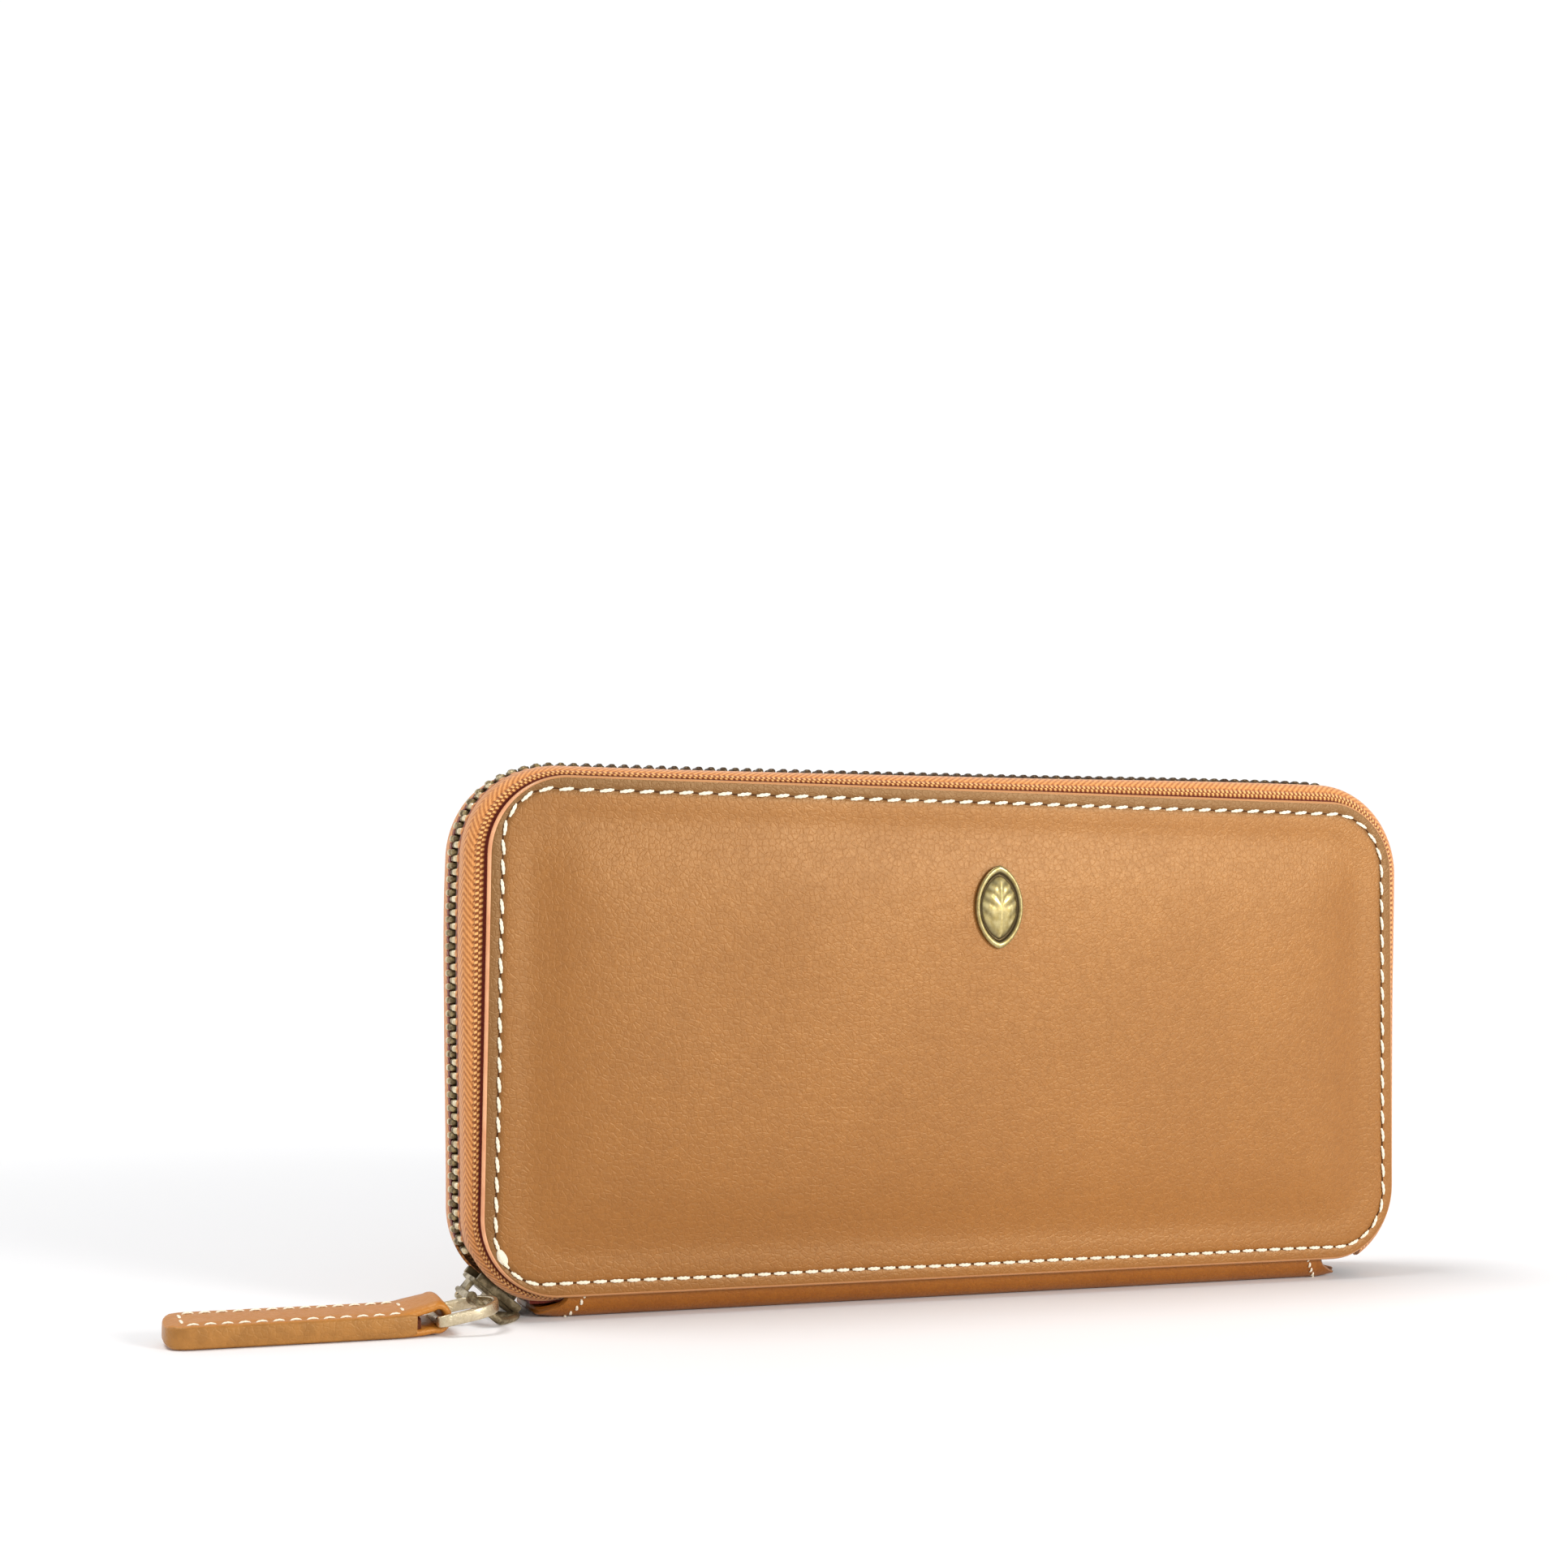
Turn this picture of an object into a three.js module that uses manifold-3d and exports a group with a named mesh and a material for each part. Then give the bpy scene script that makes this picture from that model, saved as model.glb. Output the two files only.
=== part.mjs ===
import * as THREE from 'three';
import Module from 'manifold-3d';

const wasm = await Module();
wasm.setup();

// Long zip-around wallet standing on its spine. Millimetres, +X along the length, front at -Y, +Z up.
// The sizes that drive the rest.
const LENGTH = 196;        // front cover, end to end
const HEIGHT = 95.4;       // front cover, bottom edge to top edge
const BASE_RISE = 4.2;     // bottom edge of the covers above the floor
const HALF_DEPTH = 12;     // mid plane to the flat margin of a cover
const CORNER = 15;         // corner radius of the covers
const PUFF = 1;            // how far the padded middle stands proud of the margin
const LEATHER = 1.6;       // cover leather
const SPINE_LEATHER = 1.3;
const TAPE = 0.6;
const CREST = 3.2;         // middle of the zip chain outside the cover edge
const PITCH = 2.5;         // tooth spacing
const TIP = 0.45;          // tooth tip to mid plane where the slider passes
const BITE = 0.5;          // tooth tip past the mid plane where the zip is meshed
const MESH_FROM = 48;      // teeth are meshed above this height
const GAP = 0.3;           // clearance between neighbouring pieces
const SLIDER_ANGLE = 49;   // where the slider stops on the lower left corner
const TAB_LENGTH = 44.7;
const TAB_WIDTH = 11;
const CARD_WIDTH = 86.1;
const SLOT_STEP = 12;

const X0 = -LENGTH / 2;
const X1 = LENGTH / 2;
const Z0 = BASE_RISE;
const Z1 = BASE_RISE + HEIGHT;
const ARC_X = X0 + CORNER;
const ARC_Z = Z0 + CORNER;
const BACK = HALF_DEPTH - LEATHER;
const SPINE_LENGTH = LENGTH - 32;
const INSIDE_TOP = Z1 - 11.6;
const D2R = Math.PI / 180;

const part = new THREE.Group();
part.name = 'zip_around_wallet';

const TAN = [0xc07a3e, 0, 0.55];
const EDGE = [0xb8652c, 0, 0.5];
const LINING = [0x8a5a34, 0, 0.8];
const TAPE_ORANGE = [0xd8873f, 0, 0.85];
const BRASS = [0x8d8157, 0.9, 0.4];
const PALE = [0xd8c9a4, 0, 0.9];

function put(name, geometry, look) {
  const [color, metalness, roughness] = look;
  const mesh = new THREE.Mesh(geometry, new THREE.MeshStandardMaterial({ color, metalness, roughness }));
  mesh.name = name;
  part.add(mesh);
}

// ---- general shapes ----

function volume(pos, index) {
  let v = 0;
  const a = new THREE.Vector3();
  const b = new THREE.Vector3();
  const c = new THREE.Vector3();
  for (let i = 0; i < index.length; i += 3) {
    a.fromArray(pos, index[i] * 3);
    b.fromArray(pos, index[i + 1] * 3);
    c.fromArray(pos, index[i + 2] * 3);
    v += a.dot(b.cross(c));
  }
  return v;
}

function toGeometry(pos, index) {
  if (volume(pos, index) < 0) {
    for (let i = 0; i < index.length; i += 3) [index[i], index[i + 1]] = [index[i + 1], index[i]];
  }
  const g = new THREE.BufferGeometry();
  g.setAttribute('position', new THREE.Float32BufferAttribute(pos, 3));
  g.setIndex(index);
  return g;
}

// Cap over one end of a loft, wound so that its edge 0-1 runs the way asked for.
function cap(flat, forward) {
  const tris = THREE.ShapeUtils.triangulateShape(flat.map((p) => new THREE.Vector2(p[0], p[1])), []);
  const hit = tris.find((t) => t.includes(0) && t.includes(1));
  const runsForward = (hit.indexOf(1) - hit.indexOf(0) + 3) % 3 === 1;
  return tris.map((t) => (runsForward === forward ? t : [t[0], t[2], t[1]]));
}

// Skin over rings with the same number of points. Open lofts get flat caps; closed ones join end to start.
function loft(rings, flat0, flat1) {
  const n = rings[0].length;
  const pos = rings.flat(2);
  const index = [];
  const spans = flat0 ? rings.length - 1 : rings.length;
  for (let i = 0; i < spans; i++) {
    const next = (i + 1) % rings.length;
    for (let j = 0; j < n; j++) {
      const k = (j + 1) % n;
      index.push(i * n + j, i * n + k, next * n + k, i * n + j, next * n + k, next * n + j);
    }
  }
  if (flat0) {
    const last = (rings.length - 1) * n;
    for (const t of cap(flat0, false)) index.push(...t);
    for (const t of cap(flat1, true)) index.push(...t.map((v) => v + last));
  }
  return toGeometry(pos, index);
}

function outline(x0, x1, z0, z1, r, steps) {
  const out = [];
  const corners = [[x1 - r, z0 + r, -90], [x1 - r, z1 - r, 0], [x0 + r, z1 - r, 90], [x0 + r, z0 + r, 180]];
  for (const [cx, cz, from] of corners) {
    for (let i = 0; i <= steps; i++) {
      const a = (from + 90 * i / steps) * D2R;
      out.push([cx + r * Math.cos(a), cz + r * Math.sin(a)]);
    }
  }
  return out;
}

// Rounded plate in the X-Z plane from a list of [inset, y] rings.
function plate(bounds, r, steps, levels) {
  const [x0, x1, z0, z1] = bounds;
  const flat = levels.map(([i]) => outline(x0 + i, x1 - i, z0 + i, z1 - i, Math.max(r - i, Math.min(r, 3)), steps));
  const rings = levels.map(([, y], k) => flat[k].map(([x, z]) => [x, y, z]));
  return loft(rings, flat[0], flat[flat.length - 1]);
}

// Flat polygon [a, b] given thickness along the third axis.
function prism(points, from, to, place) {
  const ring = (v) => points.map(([a, b]) => place(a, b, v));
  return loft([ring(from), ring(to)], points, points);
}
const inXZ = (a, b, v) => [a, v, b];
const inYZ = (a, b, v) => [v, a, b];
const inXY = (a, b, v) => [a, b, v];

function box(x0, x1, y0, y1, z0, z1) {
  return prism([[x0, z0], [x1, z0], [x1, z1], [x0, z1]], y0, y1, inXZ);
}

// Closed outline of a strip with the given thickness about an open mid line.
function ribbon(line, thickness) {
  const side = (s) => line.map((p, i) => {
    const a = line[Math.max(i - 1, 0)];
    const b = line[Math.min(i + 1, line.length - 1)];
    const d = Math.hypot(b[0] - a[0], b[1] - a[1]);
    const h = s * thickness / 2;
    return [p[0] - h * (b[1] - a[1]) / d, p[1] + h * (b[0] - a[0]) / d];
  });
  return [...side(1), ...side(-1).reverse()];
}

// Round wire about a closed or open centre line; up is any direction never along the wire.
function wire(points, radius, sides, closed, up) {
  const n = points.length;
  const at = (i) => new THREE.Vector3(...points[closed ? (i + n) % n : Math.min(Math.max(i, 0), n - 1)]);
  const circle = [];
  for (let j = 0; j < sides; j++) {
    circle.push([radius * Math.cos(2 * Math.PI * j / sides), radius * Math.sin(2 * Math.PI * j / sides)]);
  }
  const rings = points.map((_, i) => {
    const t = at(i + 1).sub(at(i - 1)).normalize();
    const u = new THREE.Vector3(...up).cross(t).normalize();
    const w = t.clone().cross(u);
    const p = at(i);
    return circle.map(([a, b]) => p.clone().addScaledVector(u, a).addScaledVector(w, b).toArray());
  });
  return closed ? loft(rings) : loft(rings, circle, circle);
}

function toManifold(g) {
  const verts = new Float32Array(g.getAttribute('position').array);
  const mesh = new wasm.Mesh({ numProp: 3, vertProperties: verts, triVerts: new Uint32Array(g.getIndex().array) });
  mesh.merge();
  return new wasm.Manifold(mesh);
}

function fromManifold(m) {
  const out = m.getMesh();
  const g = new THREE.BufferGeometry();
  g.setAttribute('position', new THREE.Float32BufferAttribute(Array.from(out.vertProperties), 3));
  g.setIndex(Array.from(out.triVerts));
  return g;
}

function join(list) {
  return fromManifold(list.map(toManifold).reduce((a, b) => a.add(b)));
}

function mirrored(g) {
  const pos = Array.from(g.getAttribute('position').array);
  for (let i = 1; i < pos.length; i += 3) pos[i] = -pos[i];
  return toGeometry(pos, Array.from(g.getIndex().array));
}

// ---- the line the zip follows: up the left end, over the top and down the right end ----

function edgePath(fromDeg, toDeg, spacing, n) {
  const r = CORNER + n;
  const side = HEIGHT - 2 * CORNER;
  const top = LENGTH - 2 * CORNER;
  const parts = [
    [r * fromDeg * D2R, (t) => arcPoint(ARC_X, ARC_Z, 180 + fromDeg * (1 - t))],
    [side, (t) => [X0, ARC_Z + side * t, -1, 0]],
    [r * Math.PI / 2, (t) => arcPoint(ARC_X, Z1 - CORNER, 180 - 90 * t)],
    [top, (t) => [ARC_X + top * t, Z1, 0, 1]],
    [r * Math.PI / 2, (t) => arcPoint(X1 - CORNER, Z1 - CORNER, 90 - 90 * t)],
    [side, (t) => [X1, Z1 - CORNER - side * t, 1, 0]],
    [r * toDeg * D2R, (t) => arcPoint(X1 - CORNER, ARC_Z, -toDeg * t)],
  ];
  const total = parts.reduce((s, p) => s + p[0], 0);
  return { total, at: (s) => pointAt(parts, s) };
}

function pointAt(parts, s) {
  let left = s;
  for (const [len, f] of parts) {
    if (left <= len || len === parts[parts.length - 1][0] && f === parts[parts.length - 1][1]) {
      return f(Math.min(Math.max(left / len, 0), 1));
    }
    left -= len;
  }
  return null;
}

function arcPoint(cx, cz, deg) {
  const c = Math.cos(deg * D2R);
  const s = Math.sin(deg * D2R);
  return [cx + CORNER * c, cz + CORNER * s, c, s];
}

// Solid swept along the zip line; section(s, z) gives [n, y] points at that station.
function alongEdge(path, stations, section) {
  const flats = stations.map((s) => {
    const p = path.at(s);
    return section(s, p[1]);
  });
  const rings = stations.map((s, i) => {
    const [x, z, nx, nz] = path.at(s);
    return flats[i].map(([n, y]) => [x + n * nx, y, z + n * nz]);
  });
  return loft(rings, flats[0], flats[flats.length - 1]);
}

const ZIP_FROM = 29;       // the zip halves end just above the slider
const ZIP_TO = 42;

// ---- one half: cover, padding, lining, zip half, card pockets (drawn at the front, mirrored for the back) ----

const COVER = [X0, X1, Z0, Z1];

function coverLeather() {
  const f = -HALF_DEPTH;
  const b = -BACK;
  return plate(COVER, CORNER, 7, [
    [26, b - PUFF], [16, b - 0.8 * PUFF], [9, b - 0.35 * PUFF], [5.5, b], [0.4, b],
    [0, b - 0.4], [0, f + 0.4], [0.4, f], [5.5, f], [9, f - 0.35 * PUFF], [16, f - 0.8 * PUFF], [26, f - PUFF],
  ]);
}

function padding() {
  const b = -BACK + GAP;
  return plate(COVER, CORNER, 7, [[27, b - PUFF], [17, b - 0.8 * PUFF], [11, b - 0.3 * PUFF], [10.5, b + 0.7]]);
}

const LINING_Y = -BACK + 1.4;

function liningSheet() {
  return plate([X0 + 5, X1 - 5, Z0 + 6.1, Z1 - 4], 10, 5, [[0, LINING_Y], [0, LINING_Y + 0.6]]);
}

function zipTape() {
  const path = edgePath(ZIP_FROM, ZIP_TO, 0, CREST);
  const y = -BACK + 0.6;
  const section = ribbon([[-4.5, y], [0.8, y], [2.3, y + 0.7], [CREST, y + 2.1], [CREST, -2.9]], TAPE);
  const stations = [];
  const corners = [8, 2, 12, 2, 12, 2, 10];
  const r = CORNER + CREST;
  const lengths = [
    r * ZIP_FROM * D2R, HEIGHT - 2 * CORNER, r * Math.PI / 2, LENGTH - 2 * CORNER,
    r * Math.PI / 2, HEIGHT - 2 * CORNER, r * ZIP_TO * D2R,
  ];
  let s = 0;
  lengths.forEach((len, i) => {
    for (let k = 0; k < corners[i]; k++) stations.push(s + len * k / corners[i]);
    s += len;
  });
  stations.push(path.total);
  return alongEdge(path, stations, () => section);
}

// Comb of teeth on a bead; phase is 0 at the front and half a pitch at the back.
function zipTeeth(phase) {
  const path = edgePath(ZIP_FROM, ZIP_TO, 0, CREST);
  const root = -2.6;
  const bead = -1.2;
  const stations = [];
  const reach = new Map();
  const add = (s, tooth) => {
    stations.push(s);
    reach.set(s, tooth);
  };
  add(0, false);
  for (let s = PITCH * (0.6 + phase); s < path.total - PITCH * 0.5; s += PITCH) {
    add(s - 0.62, false);
    add(s - 0.4, true);
    add(s + 0.4, true);
    add(s + 0.62, false);
  }
  add(path.total, false);
  const section = (s, z) => {
    const tip = z > MESH_FROM ? BITE : -TIP;
    const y = reach.get(s) ? tip : bead;
    return [[CREST - 0.7, root], [CREST - 0.7, y], [CREST + 0.7, y], [CREST + 0.7, root]];
  };
  return alongEdge(path, stations, section);
}

const POCKET_Y = LINING_Y + 0.9;

function cardPanel() {
  return plate([-CARD_WIDTH - 0.4, CARD_WIDTH + 0.4, 12, INSIDE_TOP], 4, 3, [[0, POCKET_Y], [0, POCKET_Y + 0.6]]);
}

function cardSlot(side, row) {
  const y = POCKET_Y + 0.9 * row;
  const x0 = side < 0 ? -CARD_WIDTH - 0.4 : 0.4;
  return plate([x0, x0 + CARD_WIDTH, 12, INSIDE_TOP - SLOT_STEP * row], 3, 2, [[0, y], [0, y + 0.6]]);
}

function addHalf(prefix, flip) {
  const add = (name, g, look) => put(prefix + name, flip ? mirrored(g) : g, look);
  add('_cover', coverLeather(), TAN);
  add('_padding', padding(), PALE);
  add('_lining', liningSheet(), LINING);
  add('_zip_tape', zipTape(), TAPE_ORANGE);
  add('_zip_teeth', zipTeeth(flip ? 0.5 : 0), BRASS);
  add('_card_panel', cardPanel(), TAN);
  for (let row = 1; row <= 3; row++) {
    add(`_left_card_slot_${row}`, cardSlot(-1, row), TAN);
    add(`_right_card_slot_${row}`, cardSlot(1, row), TAN);
  }
}

// Small metal emblem: an upright pointed oval with a bevelled rim.
function emblem() {
  const y = -HALF_DEPTH - PUFF - GAP;
  const shape = (k) => {
    const out = [];
    for (let i = 0; i < 20; i++) {
      const a = 2 * Math.PI * i / 20;
      const w = Math.abs(Math.cos(a)) ** 1.3 * Math.sign(Math.cos(a));
      out.push([4.5 + (4.7 - k) * w, 76.4 + (7.8 - k) * Math.sin(a)]);
    }
    return out;
  };
  const rings = [[0, y], [0, y - 0.8], [0.7, y - 1.4]];
  return loft(rings.map(([k, yy]) => shape(k).map(([x, z]) => [x, yy, z])), shape(0), shape(0.7));
}

// ---- spine ----

function spineWrap() {
  const y = BACK - 0.9;
  const t = SPINE_LEATHER / 2;
  const line = [[-y, 9.4], [-y, 4.6]];
  for (let i = 1; i <= 5; i++) line.push([-y + 3.3 - 3.3 * Math.cos(i * 18 * D2R), 4.6 - (4.6 - t) * Math.sin(i * 18 * D2R)]);
  const all = [...line, ...line.map(([a, b]) => [-a, b]).reverse()];
  return prism(ribbon(all, SPINE_LEATHER), -SPINE_LENGTH / 2, SPINE_LENGTH / 2, inYZ);
}

function spineLining() {
  const z = SPINE_LEATHER + GAP;
  const end = SPINE_LENGTH / 2 - 16;
  return box(-end, end, -6, 6, z, z + 0.8);
}

// Plain end of a zip tape, from under the slider down into the open end of the spine.
function tapeTail() {
  const pts = [];
  for (let d = 47; d < 66; d += 6) pts.push(tailPoint(d, 2.9));
  for (let d = 66; d <= 90; d += 6) pts.push(tailPoint(d, 2.9 - (d - 66) / 24));
  pts.push([ARC_X + 14, ARC_Z - CORNER - 1.9]);
  return prism(ribbon(pts, TAPE), -7.2, -3.3, inXZ);
}

function tailPoint(deg, n) {
  return [ARC_X - (CORNER + n) * Math.cos(deg * D2R), ARC_Z - (CORNER + n) * Math.sin(deg * D2R)];
}

function bottomStop() {
  const a = 48 * D2R;
  const r = CORNER + CREST;
  const c = [X1 - CORNER + r * Math.cos(a), ARC_Z - r * Math.sin(a)];
  const t = [-Math.sin(a), -Math.cos(a)];
  const n = [Math.cos(a), -Math.sin(a)];
  const corner = (u, v) => [c[0] + t[0] * u + n[0] * v, c[1] + t[1] * u + n[1] * v];
  return prism([corner(-1.3, -1), corner(1.3, -1), corner(1.3, 1), corner(-1.3, 1)], -2.4, 2.4, inXZ);
}

// Accordion fold that closes an end of the wallet between a half and the coin pocket.
function gusset(end) {
  const y = LINING_Y + 1.2;
  const line = [[X0 + 4.2, y], [X0 + 10.2, -5.9], [X0 + 4.2, -4]];
  const bent = ribbon(line, 0.6).map(([x, yy]) => [end * x * -1, yy]);
  return prism(bent, 10.5, INSIDE_TOP, inXY);
}

// ---- coin pocket in the middle ----

const COIN_X = X1 - 12;
const COIN_TOP = Z1 - 14.6;

function coinWall() {
  return plate([-COIN_X, COIN_X, 5.2, COIN_TOP], 3, 2, [[0, -3.3], [0, -2.7]]);
}

function coinTape() {
  return box(-COIN_X + 2, COIN_X - 2, -3.3, -1.5, COIN_TOP + 0.3, COIN_TOP + 0.9);
}

function coinTeeth() {
  const z = COIN_TOP + 0.1;
  const pts = [[-COIN_X + 4, -1.2]];
  for (let x = -COIN_X + 6; x < COIN_X - 5; x += PITCH) {
    pts.push([x - 0.6, -0.95], [x - 0.4, -TIP], [x + 0.4, -TIP], [x + 0.6, -0.95]);
  }
  pts.push([COIN_X - 4, -1.2]);
  return prism(pts, z, z + 1.1, inXY);
}

function coinSlider() {
  const x = -COIN_X + 10;
  const z = COIN_TOP + 0.1;
  const top = box(x - 4, x + 4, -3.4, 3.4, z + 1.4, z + 2.4);
  const under = box(x - 4, x + 4, -2.1, 2.1, z - 1.3, z - 0.3);
  const web = box(x - 3.5, x + 0.5, -0.15, 0.15, z - 0.5, z + 1.6);
  const postA = box(x - 1.5, x - 0.6, -0.9, 0.9, z + 2.2, z + 5);
  const postB = box(x + 1.6, x + 2.5, -0.9, 0.9, z + 2.2, z + 5);
  const bridge = box(x - 1.5, x + 2.5, -0.9, 0.9, z + 4.2, z + 5);
  return join([top, under, web, postA, postB, bridge]);
}

function coinPull() {
  const x = -COIN_X + 10.5;
  const z = COIN_TOP + 3.4;
  const pts = [];
  const half = [[-0.5, 0], [-0.5, 2.6], [3, 2.6], [10.5, 2.2], [11.5, 1.4]];
  for (const [a, b] of half) pts.push([x + a, -b - 0.01]);
  for (const [a, b] of [...half].reverse()) pts.push([x + a, b + 0.01]);
  const hole = box(x + 0.5, x + 3.2, -1.3, 1.3, z - 1, z + 2);
  const blade = prism(pts, z, z + 0.7, inXY);
  return fromManifold(toManifold(blade).subtract(toManifold(hole)));
}

// ---- zip slider and its pull ----

const DIR = [-Math.cos(SLIDER_ANGLE * D2R), -Math.sin(SLIDER_ANGLE * D2R)];
const TAN_DIR = [-DIR[1], DIR[0]];

// Point beside the slider: u along the zip, n outward from the cover edge.
function beside(u, n) {
  return [ARC_X + TAN_DIR[0] * u + DIR[0] * (CORNER + n), ARC_Z + TAN_DIR[1] * u + DIR[1] * (CORNER + n)];
}

function sliderSlab(u0, u1, y0, y1, n0, n1) {
  return prism([beside(u0, n0), beside(u1, n0), beside(u1, n1), beside(u0, n1)], y0, y1, inXZ);
}

const BAIL_N = 6.6;

// Round rod along the zip at height n, used as the hole through the lugs.
function lugHole() {
  const [x0, z0] = beside(-4, BAIL_N);
  const [x1, z1] = beside(4, BAIL_N);
  return wire([[x0, 0, z0], [x1, 0, z1]], 0.9, 12, false, [0, 1, 0]);
}

function sliderBody() {
  const outer = sliderSlab(-5, 5, -4.8, 4.8, 4.2, 5.3);
  const inner = sliderSlab(-5, 5, -4.3, 4.3, 0.5, 1.5);
  const web = sliderSlab(-1, 4.5, -0.2, 0.2, 1.2, 4.5);
  const lugA = sliderSlab(-2.5, -1.6, -1.4, 1.4, 5.1, BAIL_N + 1.2);
  const lugB = sliderSlab(1.6, 2.5, -1.4, 1.4, 5.1, BAIL_N + 1.2);
  const solid = join([outer, inner, web, lugA, lugB]);
  return fromManifold(toManifold(solid).subtract(toManifold(lugHole())));
}

// U-shaped bail: its turned-in ends face each other between the lugs, its bar lies toward the front.
const BAIL_REACH = 13.5;

function bail() {
  const line = [];
  const h = 3.3;
  const half = [[0.35, 0.15], [0.9, 0], [2.2, 0], [2.9, -0.3], [h, -1.1], [h, -5], [h, BAIL_REACH * -1 + 1.2], [h - 0.4, 0.35 - BAIL_REACH], [h - 1.2, -BAIL_REACH]];
  for (const [u, y] of half) line.push([u, y]);
  for (const [u, y] of [...half].reverse()) line.push([-u, y]);
  const pts = line.map(([u, y]) => {
    const [x, z] = beside(u, BAIL_N);
    return [x, y, z];
  });
  return wire(pts, 0.6, 8, false, [DIR[0], 0, DIR[1]]);
}

const RING_Z = 2.6;
const RING_END = X0 + 5;
const RING_BEND = X0 - 3.5;
const RING_Y = -15.5;
const BAR_X = X0 - 9.3;

function ring() {
  const pts = [];
  const w = 5.65;
  for (let i = -1; i <= 1; i += 0.5) pts.push([BAR_X, RING_Y + i * (w - 1), RING_Z]);
  pts.push([BAR_X + 0.35, RING_Y + w - 0.3, RING_Z], [BAR_X + 1.2, RING_Y + w, RING_Z]);
  for (let a = 90; a >= -90; a -= 18) {
    pts.push([RING_BEND + (RING_END - RING_BEND) * Math.cos(a * D2R), RING_Y + w * Math.sin(a * D2R), RING_Z]);
  }
  pts.push([BAR_X + 1.2, RING_Y - w, RING_Z], [BAR_X + 0.35, RING_Y - w + 0.3, RING_Z]);
  return wire(pts, 0.75, 8, true, [0, 0, 1]);
}

// Leather pull tab: one strap turned round the bar of the ring, its two ends lying on each other.
const TAB_END = BAR_X - TAB_LENGTH;

function tabPlan(grow) {
  const w = TAB_WIDTH / 2 + grow;
  const half = [[TAB_END - grow, w - 1.2], [TAB_END + 1 - grow, w], [BAR_X - 9, w], [BAR_X - 4.5, 4.3 + grow], [BAR_X + 4, 4.3 + grow]];
  return [...half.map(([x, y]) => [x, RING_Y - y]), ...half.reverse().map(([x, y]) => [x, RING_Y + y])];
}

function tabStrap() {
  const line = [[TAB_END - 1, 0.65], [BAR_X - 3, 0.65]];
  for (let a = -90; a <= 90; a += 22.5) line.push([BAR_X + 1.7 * Math.cos(a * D2R), RING_Z + 1.7 * Math.sin(a * D2R)]);
  line.push([BAR_X - 1.5, RING_Z + 1.65], [BAR_X - 5, 3.35], [TAB_END - 1, 3.35]);
  const strap = prism(ribbon(line, 1.2), RING_Y - 8, RING_Y + 8, inXZ);
  const plan = prism(tabPlan(0), -2, 8, inXY);
  return fromManifold(toManifold(strap).intersect(toManifold(plan)));
}

function tabFiller() {
  const plan = prism(tabPlan(-0.4), 1.55, 2.45, inXY);
  const keep = box(TAB_END - 1, BAR_X - 6, -40, 10, 0, 5);
  return fromManifold(toManifold(plan).intersect(toManifold(keep)));
}

// ---- assembly ----

addHalf('front', false);
addHalf('back', true);
put('front_emblem', emblem(), [0xb9a45c, 1, 0.35]);
put('spine_wrap', spineWrap(), TAN);
put('spine_lining', spineLining(), LINING);
put('front_tape_tail', tapeTail(), TAPE_ORANGE);
put('back_tape_tail', mirrored(tapeTail()), TAPE_ORANGE);
put('zip_bottom_stop', bottomStop(), BRASS);
for (const [end, side] of [['left', -1], ['right', 1]]) {
  put(`${end}_front_gusset`, gusset(side), LINING);
  put(`${end}_back_gusset`, mirrored(gusset(side)), LINING);
}
put('coin_pocket_front_wall', coinWall(), LINING);
put('coin_pocket_back_wall', mirrored(coinWall()), LINING);
put('coin_pocket_base_seam', box(-COIN_X + 1, COIN_X - 1, -2.4, 2.4, 5.5, 6.3), LINING);
put('coin_pocket_left_seam', box(-COIN_X + 0.5, -COIN_X + 1.3, -2.4, 2.4, 6.6, COIN_TOP - 3), LINING);
put('coin_pocket_right_seam', box(COIN_X - 1.3, COIN_X - 0.5, -2.4, 2.4, 6.6, COIN_TOP - 3), LINING);
put('coin_zip_front_tape', coinTape(), TAPE_ORANGE);
put('coin_zip_back_tape', mirrored(coinTape()), TAPE_ORANGE);
put('coin_zip_front_teeth', coinTeeth(), BRASS);
put('coin_zip_back_teeth', mirrored(coinTeeth()), BRASS);
put('coin_zip_slider', coinSlider(), BRASS);
put('coin_zip_pull', coinPull(), BRASS);
put('zip_slider_body', sliderBody(), BRASS);
put('pull_bail', bail(), BRASS);
put('pull_ring', ring(), BRASS);
put('pull_tab_strap', tabStrap(), EDGE);
put('pull_tab_filler', tabFiller(), PALE);

export default part;
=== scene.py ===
import math

import bmesh
import bpy
import numpy as np
from mathutils import Matrix, Vector


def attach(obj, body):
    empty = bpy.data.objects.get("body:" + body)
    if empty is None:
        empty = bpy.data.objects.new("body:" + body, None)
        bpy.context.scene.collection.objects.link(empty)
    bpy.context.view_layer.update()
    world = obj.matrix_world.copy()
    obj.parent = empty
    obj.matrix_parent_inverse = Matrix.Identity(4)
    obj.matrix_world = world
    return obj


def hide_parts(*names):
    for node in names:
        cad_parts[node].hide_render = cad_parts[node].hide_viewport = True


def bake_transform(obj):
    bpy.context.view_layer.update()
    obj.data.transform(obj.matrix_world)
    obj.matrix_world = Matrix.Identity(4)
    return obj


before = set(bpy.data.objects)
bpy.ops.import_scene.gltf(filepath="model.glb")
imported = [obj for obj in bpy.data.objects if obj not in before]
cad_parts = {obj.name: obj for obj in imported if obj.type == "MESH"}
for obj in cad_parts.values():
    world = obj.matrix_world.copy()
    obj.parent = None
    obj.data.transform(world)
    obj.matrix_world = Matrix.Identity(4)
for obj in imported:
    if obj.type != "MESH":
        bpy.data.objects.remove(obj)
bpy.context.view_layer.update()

MM = 0.001


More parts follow.
